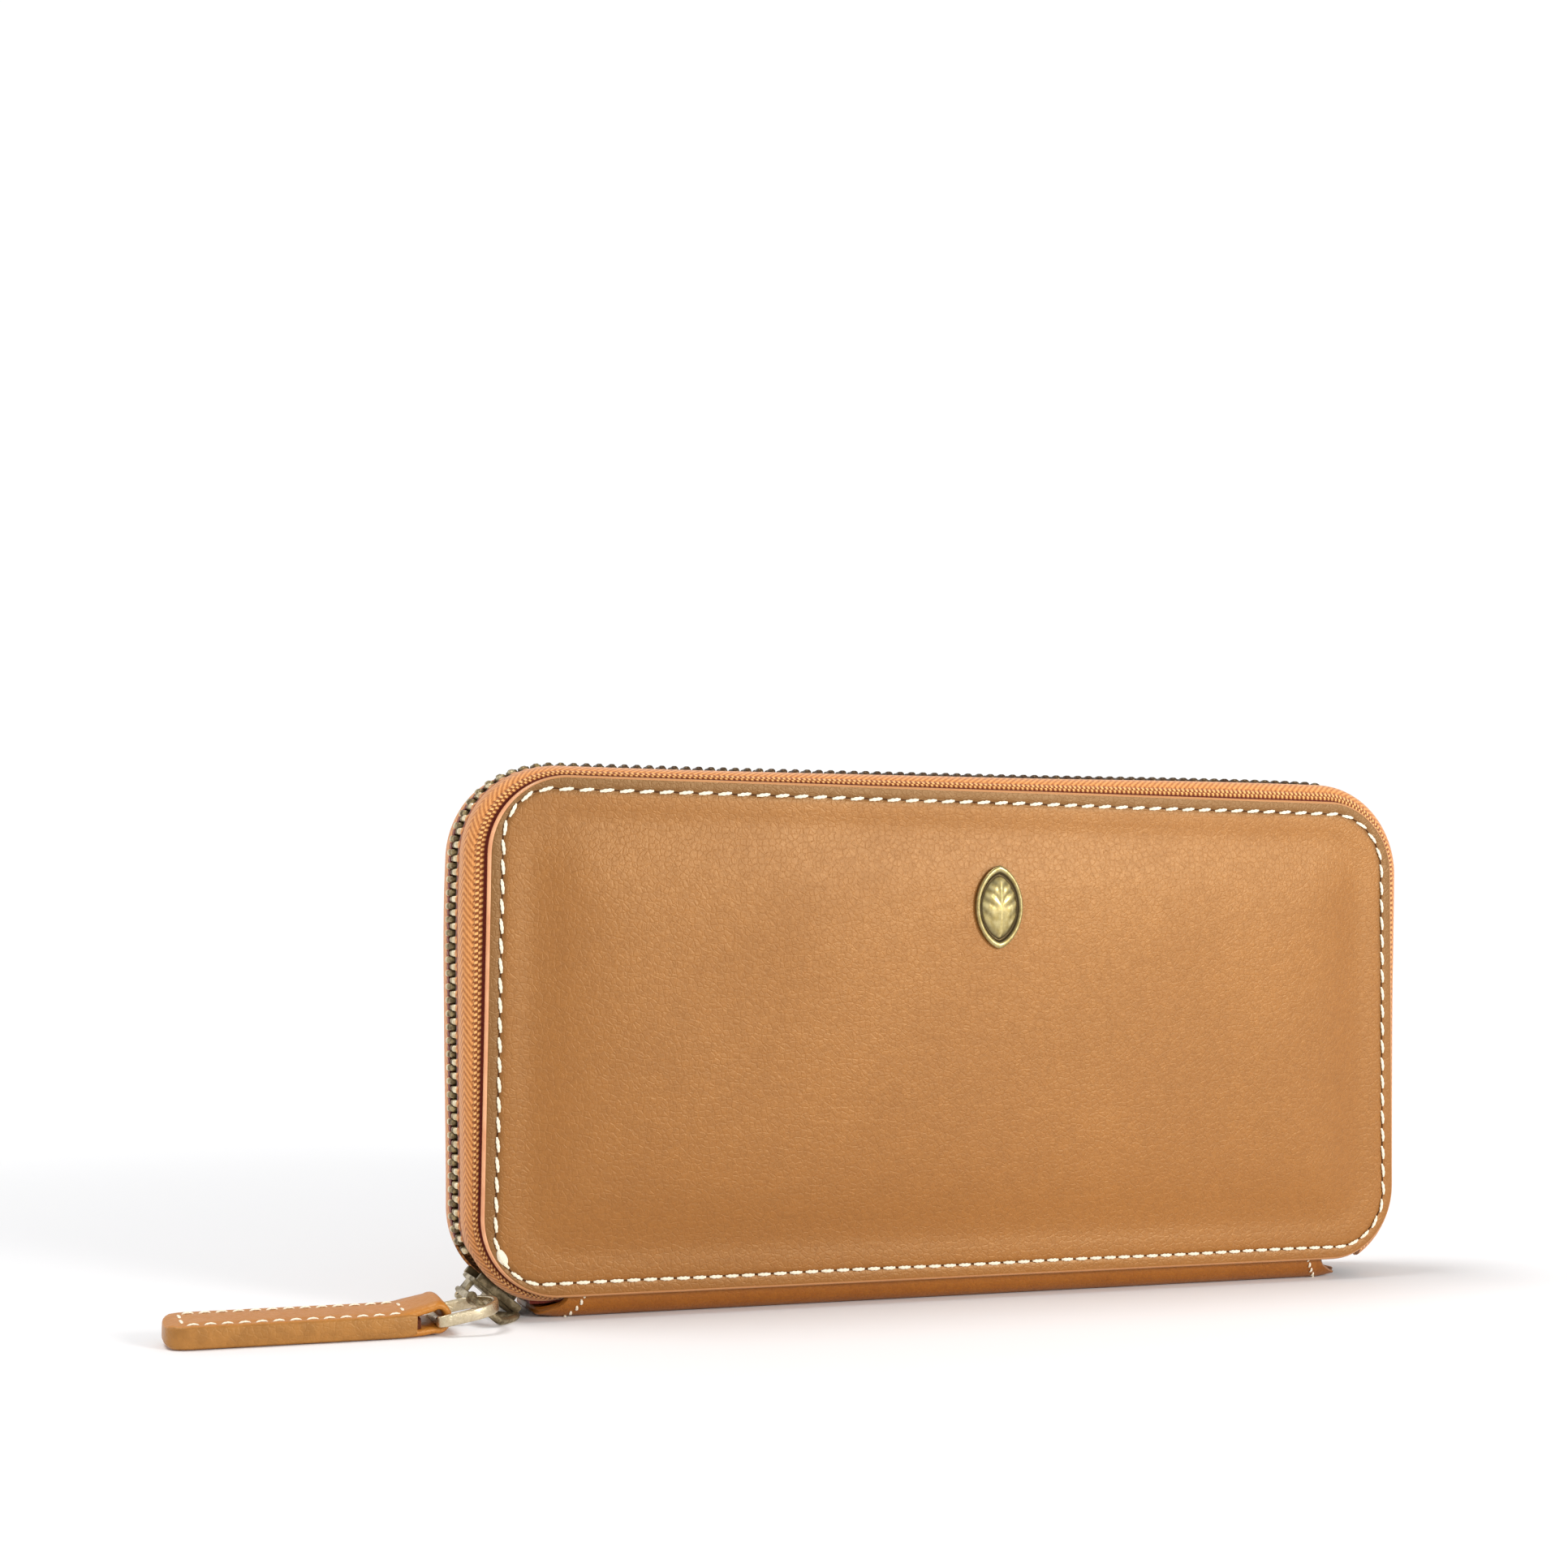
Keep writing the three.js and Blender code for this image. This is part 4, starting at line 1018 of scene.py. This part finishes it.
tab_seam = Stock()
DASH_ROWS = [((-150.6, -3.95), (-113.4, -3.95), 13), ((-113.4, 3.95), (-150.6, 3.95), 13),
             ((-150.9, 3.4), (-150.9, -3.4), 2), ((-113.2, -3.4), (-113.2, 3.4), 2)]
for start, end, count in DASH_ROWS:
    start, end = np.array(start), np.array(end)
    aim = (end - start) / np.linalg.norm(end - start)
    gap = np.linalg.norm(end - start) / count
    for k in range(count):
        mid = start + aim * gap * (k + 0.5)
        lift = TAB_TOP + tab_swell(mid[0], 0.12, 0.38)
        lean = math.radians(5)
        ray = (aim[0] * math.cos(lean) - aim[1] * math.sin(lean),
               aim[0] * math.sin(lean) + aim[1] * math.cos(lean))
        stitch(tab_seam, (mid[0], TAB_Y + mid[1], lift - 0.16), (ray[0], ray[1], 0), (0, 0, 1),
               gap * 0.72, 0.62, 0.26)
        a, b = mid + aim * gap * 0.33, mid + aim * gap * 0.67
        hole_line(tab_seam, (a[0], TAB_Y + a[1], lift - 0.15), (b[0], TAB_Y + b[1], lift - 0.15),
                  (0, 0, 1), 0.3)
rolled(tab_seam)
tab_seam.piece("pull_tab_seam", [thread, sunk], "pull_tab_body")


# --- Spine -------------------------------------------------------------------
# A strip of the same leather wraps the bottom, its flanges glued behind both
# covers. It bends where the covers open; each end is cut back in a curve.
SPINE_END, SPINE_THICK = 82.0, 1.3
SPINE_LINE = ([(-9.5, z) for z in (9.4, 8.2, 7.0, 5.8, 4.6)]
              + [(-9.5 + 3.3 * (1 - math.cos(t)), 4.6 - 3.95 * math.sin(t))
                 for t in np.linspace(0, math.pi / 2, 12)[1:]]
              + [(y, 0.65) for y in (-5.2, -4.0, -2.6, -1.3, 0.0)])


def headings(line):
    """Directions along a line of points."""
    ahead = np.gradient(line, axis=0)
    return ahead / np.linalg.norm(ahead, axis=1)[:, None]


def spine_end(z):
    """How much further the strip reaches out at its foot than at its flange."""
    heights, reaches = [0.0, 0.65, 1.2, 2.0, 3.0, 4.6, 9.4], [4.7, 4.5, 3.2, 1.5, 0.1, -1.0, -1.2]
    return float(smooth_through(heights, reaches, z))


spine_leather = tan_leather("spine_leather", (0.325, 0.102, 0.006), (0.245, 0.067, 0.003))
spine_leather.set(Base_Color=spine_leather.tone)
for side, half in HALVES:
    strip = Stock()
    line = np.array(SPINE_LINE)
    ahead = headings(line)
    away = np.c_[ahead[:, 1], -ahead[:, 0]]
    rows = []
    for t in np.r_[0, 0.0016, 0.004, np.linspace(0.012, 0.988, 90), 0.996, 0.9984, 1]:
        edge = 0.0 if 0 < t < 1 else 0.32
        row = []
        for face in (1, -1):
            order = range(len(line)) if face > 0 else range(len(line) - 1, -1, -1)
            for k in order:
                y, z = line[k]
                reach = SPINE_END + spine_end(z)
                lift = 0.75 * max(0.0, (abs(t - 0.5) - 0.478) / 0.022) * max(0.0, 1 - z / 3.0)
                py, pz = np.array([y, z]) + away[k] * (SPINE_THICK / 2 - edge) * face
                row.append((-reach + 2 * reach * t, -side * py, pz + lift))
        rows.append(row)
    strip.skin(rows)
    made = strip.piece(f"spine_{half}_side", [spine_leather], None,
                       ("spine_wrap",), sharp=50)
    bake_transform(made)

# a short row of stitches closes each end of the strip on both sides
for side, half in HALVES:
    seam = Stock()
    line = np.array(SPINE_LINE)[2:17]
    for end in (-1, 1):
        spots, aims = along(line, 8, 0.06, 0.92)
        for (y, z), (ay, az) in zip(spots, aims):
            out = np.array([0.0, side * abs(az), -abs(ay)])
            x = end * (SPINE_END - 3.4 + spine_end(z) * 0.55)
            middle = np.array([x, -side * y, z]) + out * (SPINE_THICK / 2 - 0.08)
            step_ahead = np.array([end * -0.06, -side * ay, az])
            stitch(seam, middle, step_ahead / np.linalg.norm(step_ahead), out, 1.12, 0.60, 0.24)
    made = seam.piece(f"spine_{half}_seam", [thread, sunk])
    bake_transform(made)


# --- Tape ends and bottom stop -----------------------------------------------
# Past the slider the two tapes have no teeth: their plain ends turn in under the
# spine's mouth. At the far end a brass stop is crimped over the last teeth.
def plain_tape(side, name, node, path, section, across):
    """A flat stretch of tape; each place is (x, z, distance along the weave)."""
    tape = Stock()
    tape.skin([[(x, side * y, z + dz) for y, dz in section] for x, z, _ in path],
              along=np.array([[1000.0 + at] * len(section) for _, _, at in path]),
              across=np.array([across] * len(path)))
    tape.piece(name, [tape_weave], "spine", (node,), sharp=60)


TAIL_SECTION = [(3.5, -0.3), (5.2, -0.3), (7.2, -0.3), (7.2, 0.3), (5.2, 0.3), (3.5, 0.3)]
tail_path = []
for degrees in np.arange(74, 91, 2.0):
    a = math.radians(degrees)
    reach = CORNER + 1.9 - (degrees - 74) / 16 * 0.9
    tail_path.append((-TURN_X - reach * math.cos(a), TURN_LOW - reach * math.sin(a)))
tail_path += [(-81.0, 2.75), (-79.0, 2.45), (-76.0, 2.3), (-72.5, 2.3), (-69.0, 2.3)]
# The ends' across marks sit at the cover's edge, so the tape's painted shadow red colours them:
# painted shade inside the spine's mouth.
for side, half in HALVES:
    plain_tape(side, f"tape_end_{half}", f"{half}_tape_tail",
               [(x, z, 1.2 * k) for k, (x, z) in enumerate(tail_path)], TAIL_SECTION,
               [0.1 + (7.2 - y) * 0.08 for y, _ in TAIL_SECTION])

stop_angle = math.radians(48)
stop_ahead = np.array([-math.sin(stop_angle), -math.cos(stop_angle)])
stop_out = np.array([math.cos(stop_angle), -math.sin(stop_angle)])
stop_mid = np.array([TURN_X, TURN_LOW]) + stop_out * 17.2


def by_stop(y, u, n):
    spot = stop_mid + stop_ahead * u + stop_out * n
    return (spot[0], y, spot[1])


bottom_stop = Stock()
rounded_row(bottom_stop, [(y, -1.3 + inset, 1.3 - inset, -1.0 + inset * 0.6, 1.0 - inset * 0.6)
                          for y, inset in eased_ends(-2.5, 2.5, 0.5)], by_stop, 0.5)
for y in (-1.25, 1.25):
    rounded_row(bottom_stop, [(y + dy, -1.38, 1.38, -0.8, 1.14) for dy in (-0.35, 0.0, 0.35)],
                by_stop, 0.5)
bottom_stop.piece("zip_end_stop", [antique], "spine", ("zip_bottom_stop",),
                  sharp=45)


# --- Emblem ------------------------------------------------------------------
# A small die-struck metal leaf in old gold: a raised rim, a sunk field and a domed
# blade with a midrib.
EMBLEM_X, EMBLEM_Z, EMBLEM_WIDE, EMBLEM_TALL = 4.5, 76.4, 5.1, 8.2
EMBLEM_LEVELS = [(0.99, 12.7), (1.0, 13.55), (0.985, 13.8), (0.94, 13.93), (0.88, 13.9),
                 (0.83, 13.62), (0.79, 13.42), (0.75, 13.45), (0.70, 13.72), (0.60, 14.05),
                 (0.48, 14.26), (0.34, 14.4), (0.2, 14.46), (0.08, 14.48)]
emblem = Stock()
rows, deep = [], []
for share, out in EMBLEM_LEVELS:
    row, sunk_here = [], []
    for a in np.linspace(0, 2 * math.pi, 72, endpoint=False):
        c, sn = math.cos(a), math.sin(a)
        x = EMBLEM_WIDE * share * c * abs(c) ** 0.30
        z = EMBLEM_TALL * share * sn
        rise = 0.0
        if share < 0.72:
            rib = math.exp(-(x / 0.34) ** 2)
            vein = math.cos((z - abs(x) * 0.9) * 2.6)
            rise = 0.20 * rib + 0.10 * vein * (1 - rib) * min(1.0, share * 2.2)
        row.append((EMBLEM_X + x, -(out + rise), EMBLEM_Z + z))
        in_rim = 0.73 < share < 0.85 or share == 0.99
        sunk_here.append(1.0 if in_rim else max(0.0, 0.35 - rise * 3.2))
    rows.append(row)
    deep.append(sunk_here)
emblem.skin(rows, deep=np.array(deep))
old_gold = Finish("old_gold", Metallic=0.8, Specular_IOR_Level=0.5)
patch = old_gold.patches(1.1, 4.0)
hollow = old_gold.mark("deep")
gold_tone = old_gold.mix(patch, (0.44, 0.34, 0.12), (0.66, 0.55, 0.26))
old_gold.set(Base_Color=old_gold.mix(hollow, gold_tone, (0.055, 0.036, 0.012)),
             Roughness=old_gold.between(patch, 0.0, 1.0, 0.42, 0.28))
old_gold.raised(old_gold.cloud(0.5, 3.0), 0.02, 0.5)
emblem.piece("cover_emblem", [old_gold], "front_half", ("front_emblem",),
             sharp=70)


# --- Padding and lining ------------------------------------------------------
# Felt under each cover makes it swell. Behind it a sheet of woven lining closes
# the cover, glued flat, with the tape's sewn edge caught between the two.
def leaf(stock, x0, x1, z0, z1, radius, y, thick, side, puff=0.0, soft=0.28, wave=0.0):
    """A thin sheet standing on edge, with softened rims and a slight swell."""
    mid = np.array([(x0 + x1) / 2, (z0 + z1) / 2])
    half_x, half_z = (x1 - x0) / 2, (z1 - z0) / 2
    insets = [0.0, soft * 0.3, soft, 0.8, 1.3, 1.7, 2.4, 4.0, 7.0, 11.0, 16.0, 22.0, 28.0, 34.0]
    insets = [i for i in insets if i < half_z - 1.0] + [half_z - 0.6]
    rims = [(i, 1) for i in insets[::-1]] + [(i, -1) for i in insets]
    rows, marks = [], []
    for inset, face in rims:
        corner = max(0.3, min(radius * math.exp(-inset / (radius + 1.0)), half_z - inset - 0.02))
        ring = rounded(half_x - inset, half_z - inset, corner, (44, 22, 6)) + mid
        depth = thick / 2 * (0.35 if inset == 0 else 0.8 if inset < soft * 0.5 else 1.0)
        swell = puff * (1 - math.exp(-inset / 8.0)) if face > 0 else 0.0
        ripple = wave * np.sin(ring[:, 0] / 9.0 + ring[:, 1] / 14.0) * (1 - math.exp(-inset / 6.0))
        off = y + side * (face * depth + swell) + ripple
        rows.append(np.c_[ring[:, 0], off, ring[:, 1]])
        marks.append(np.full(len(ring), inset))
    stock.skin(rows, inset=np.array(marks))


WEAVE = 0.42


def woven(name, light, dark):
    cloth = Finish(name, Roughness=0.82, Specular_IOR_Level=0.2, Sheen_Weight=0.2)
    x, z = cloth.axis("X"), cloth.axis("Z")
    step_size = FULL / (WEAVE * MM)
    weft = ((x + z) * step_size).wave() * 0.5 + 0.5
    warp = ((x - z) * (step_size * 0.5)).wave() * 0.5 + 0.5
    slub = cloth.patches(2.0, 4.0)
    pattern = weft * 0.5 + warp * 0.2 + slub * 0.3
    cloth.set(Base_Color=cloth.mix(pattern, dark, light))
    cloth.raised(pattern, 0.08, 0.6)
    return cloth


lining_cloth = woven("lining_cloth", (0.235, 0.125, 0.062), (0.120, 0.056, 0.026))
felt = Finish("padding_felt", Roughness=0.95, Specular_IOR_Level=0.1, Sheen_Weight=0.4)
tuft = felt.patches(0.9, 6.0, 0.7, warp=1.0)
felt.set(Base_Color=felt.mix(tuft, (0.50, 0.45, 0.37), (0.74, 0.69, 0.60)))
felt.raised(tuft, 0.3, 0.8)
for side, half in HALVES:
    pad = Stock()
    leaf(pad, -86.5, 86.5, 15.7, 88.1, 6.0, side * 9.9, 0.7, side, puff=0.85, soft=0.3)
    made = pad.piece(f"{half}_felt", [felt], f"{half}_half", (f"{half}_padding",))
    back_sheet = Stock()
    leaf(back_sheet, -93, 93, 10.3, 95.6, 10.0, side * 8.7, 0.55, side, soft=0.2)
    made = back_sheet.piece(f"{half}_lining_sheet", [lining_cloth], f"{half}_half",
                            (f"{half}_lining",))


# --- Card panels and card slots ----------------------------------------------
# Thin skived calf in each half: a full panel open at the top as a slip pocket, and
# three stepped card slots on each side, their rims creased and sewn down the sides.
pocket_leather = tan_leather("pocket_leather", (0.440, 0.215, 0.085), (0.310, 0.138, 0.046))
crease = pocket_leather.between(abs(pocket_leather.mark("inset") - 1.5), 0.35, 0.1)
rim_dark = pocket_leather.between(pocket_leather.mark("inset"), 0.5, 0.1)
pocket_leather.set(Base_Color=pocket_leather.mix(crease.most(rim_dark) * 0.6, pocket_leather.tone,
                                                 (0.12, 0.045, 0.015)))
PANEL_X, PANEL_FOOT, PANEL_THICK = 86.5, 12, 0.6
for side, half in HALVES:
    body = f"{half}_half"
    panel = Stock()
    leaf(panel, -PANEL_X, PANEL_X, PANEL_FOOT, 88, 3.0, side * 7.8, PANEL_THICK, -side, soft=0.25,
         wave=0.06)
    panel.piece(f"{half}_slip_panel", [pocket_leather], body,
                (f"{half}_card_panel",))
    for end, x0, x1 in (("left", -PANEL_X, -0.4), ("right", 0.4, PANEL_X)):
        for row, top in enumerate((76, 64, 52)):
            slot = Stock()
            leaf(slot, x0, x1, PANEL_FOOT, top, 2.2, side * (6.9 - 0.9 * row), PANEL_THICK,
                 -side, puff=0.12, soft=0.25)
            slot.piece(f"{half}_{end}_slot_{row + 1}", [pocket_leather], body,
                       (f"{half}_{end}_card_slot_{row + 1}",))
    seams = Stock()
    places = [(x, z, (0.05, 0, 1)) for x in (-84.9, -2.0, 2.0, 84.9)
              for z in np.arange(14.2, 50.0, 3.4)]
    places += [(x, 13.7, (1, 0, 0.05)) for x in np.arange(-83.0, 84.0, 3.4) if abs(x) > 2.4]
    for x, z, ahead in places:
        stitch(seams, (x, side * 4.76, z), ahead, (0, -side, 0), 2.4, 0.5, 0.18)
    seams.piece(f"{half}_slot_seams", [thread, sunk], body)


# --- Side gussets ------------------------------------------------------------
# At each end a folded strip of lining joins the half to the coin pocket. It lies
# flat in a V when the wallet is shut and fans out as the cover opens.
GUSSET_MID, GUSSET_LOW, GUSSET_HIGH = 5.9, 10.6, 87.9
turn_line = rounded_line([(93.7, 7.8), (87.9, GUSSET_MID), (93.7, 4.0), (86.3, 3.1)], 1.2, 6)
ahead = headings(turn_line)
off = np.c_[-ahead[:, 1], ahead[:, 0]] * 0.28
section = np.concatenate([turn_line + off, (turn_line - off)[::-1]])
for end, end_name in ((-1, "left"), (1, "right")):
    for side, half in HALVES:
        fold = Stock()
        rows = []
        for z in np.linspace(GUSSET_LOW, GUSSET_HIGH, 40):
            slack = 0.18 * math.sin(z / 6.5) * end
            rows.append([(end * (x + slack * (1 - abs(y - GUSSET_MID) / 1.9)), side * y, z)
                         for x, y in section])
        fold.skin(rows)
        made = fold.piece(f"{end_name}_{half}_fold", [lining_cloth], None,
                          (f"{end_name}_{half}_gusset",), sharp=80)
        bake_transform(made)


# --- Coin pocket -------------------------------------------------------------
# Two walls of lining cloth sewn along the bottom and both ends, open at the top
# with its own small brass zip. It stands on the spine between the two halves.
COIN_SECTION = [(3.25, -0.25), (2.6, -0.3), (2.0, -0.3), (1.55, -0.25), (1.55, 0.25), (2.0, 0.3),
                (2.6, 0.3), (3.25, 0.25)]
COIN_TOOTH = [(1.45, 0.42), (1.0, 0.5), (0.75, 0.4), (0.5, 0.46)]
for side, half in HALVES:
    wall = Stock()
    leaf(wall, -86, 86, 5.2, 85, 2.0, side * 3.0, 0.55, side, soft=0.2, wave=0.05)
    made = wall.piece(f"coin_wall_{half}", [lining_cloth], "spine",
                      (f"coin_pocket_{half}_wall",))
    plain_tape(side, f"coin_tape_{half}", f"coin_zip_{half}_tape",
               [(x, 85.6, x) for x in np.linspace(-83.9, 83.9, 200)], COIN_SECTION,
               [2.0 + (3.3 - y) * 1.5 for y, _ in COIN_SECTION])
    row_of = Stock()
    for x in np.arange(-81.5 + (0.0 if side < 0 else 1.1), 81.6, 2.2):
        rounded_row(row_of, [(side * y, x - w, x + w, 85.15, 86.15) for y, w in COIN_TOOTH],
                    lambda y, a, b: (a, y, b), 0.18, steps=2)
    row_of.piece(f"coin_teeth_{half}", [antique], "spine",
                 (f"coin_zip_{half}_teeth",), sharp=50)


def plain(x, y, z):
    return x, y, z


base_roll = Stock()
rounded_row(base_roll, [(x, -2.4, 2.4, 5.5, 6.3) for x in np.linspace(-85, 85, 30)], plain, 0.38)
base_roll.piece("coin_base_roll", [lining_cloth], "spine",
                ("coin_pocket_base_seam",))
for end, end_name in ((-1, "left"), (1, "right")):
    roll = Stock()
    rounded_row(roll, [(z, -2.4, 2.4, 84.7, 85.5) for z in np.linspace(6.6, 82, 24)],
                lambda z, y, x: (end * x, y, z), 0.38)
    roll.piece(f"coin_{end_name}_roll", [lining_cloth], "spine",
               (f"coin_pocket_{end_name}_seam",))

floor_strip = Stock()
rounded_row(floor_strip, [(x, -6.0, 6.0, 1.6, 2.4) for x in np.linspace(-66, 66, 40)], plain)
made = floor_strip.piece("spine_inner_strip", [lining_cloth], "spine",
                         ("spine_lining",))

COIN_SLIDE = -76.0
coin_slider = Stock()
for z0, z1, wide in ((86.5, 87.5, 3.3), (83.9, 84.8, 2.1)):
    rounded_row(coin_slider, [(x, -wide + 0.5 * i, wide - 0.5 * i, z0 + 0.25 * i, z1 - 0.25 * i)
                              for x, i in eased_ends(COIN_SLIDE - 4, COIN_SLIDE + 4, 0.8)], plain)
COIN_WEDGE = [(-79.5, 0.1), (-78.0, 0.16), (-75.6, 0.12)]
rounded_row(coin_slider, [(x, -w, w, 84.6, 86.7) for x, w in COIN_WEDGE], plain, 0.05)
bridge = rounded_line([(-77.0, 87.2), (-77.0, 89.65), (-74.0, 89.65), (-74.0, 87.2)], 0.9, 6)
sweep(coin_slider, [(x, 0.0, z) for x, z in bridge], [oval(0.85, 0.38, 0.6)] * len(bridge),
      (0, 1, 0.001))
coin_slider.piece("coin_slider_body", [antique], "coin_slider",
                  ("coin_zip_slider",), sharp=45)

coin_pull = Stock()
COIN_PULL_X = -75.5
half_outer = [(-0.4, 1.8), (0.2, 2.5), (2.4, 2.55), (6.5, 2.3), (10.3, 2.1), (11.2, 1.5)]
half_inner = [(0.6, 1.0), (0.8, 1.25), (1.9, 1.3), (2.6, 1.25), (3.0, 1.1), (3.15, 0.7)]
outlines = []
for half_line, tip, foot in ((half_outer, 11.5, -0.5), (half_inner, 3.2, 0.5)):
    whole = [(a, -b) for a, b in half_line] + [(tip, 0.0)] + half_line[::-1] + [(foot, 0.0)]
    outlines.append([(a + COIN_PULL_X, b) for a, b in whole])
ring_plate(coin_pull, *outlines, 88.42, 89.08, lambda z, x, y: (x, y, z), 0.12)
coin_pull.piece("coin_pull_blade", [polished], "coin_pull",
                ("coin_zip_pull",), sharp=40)
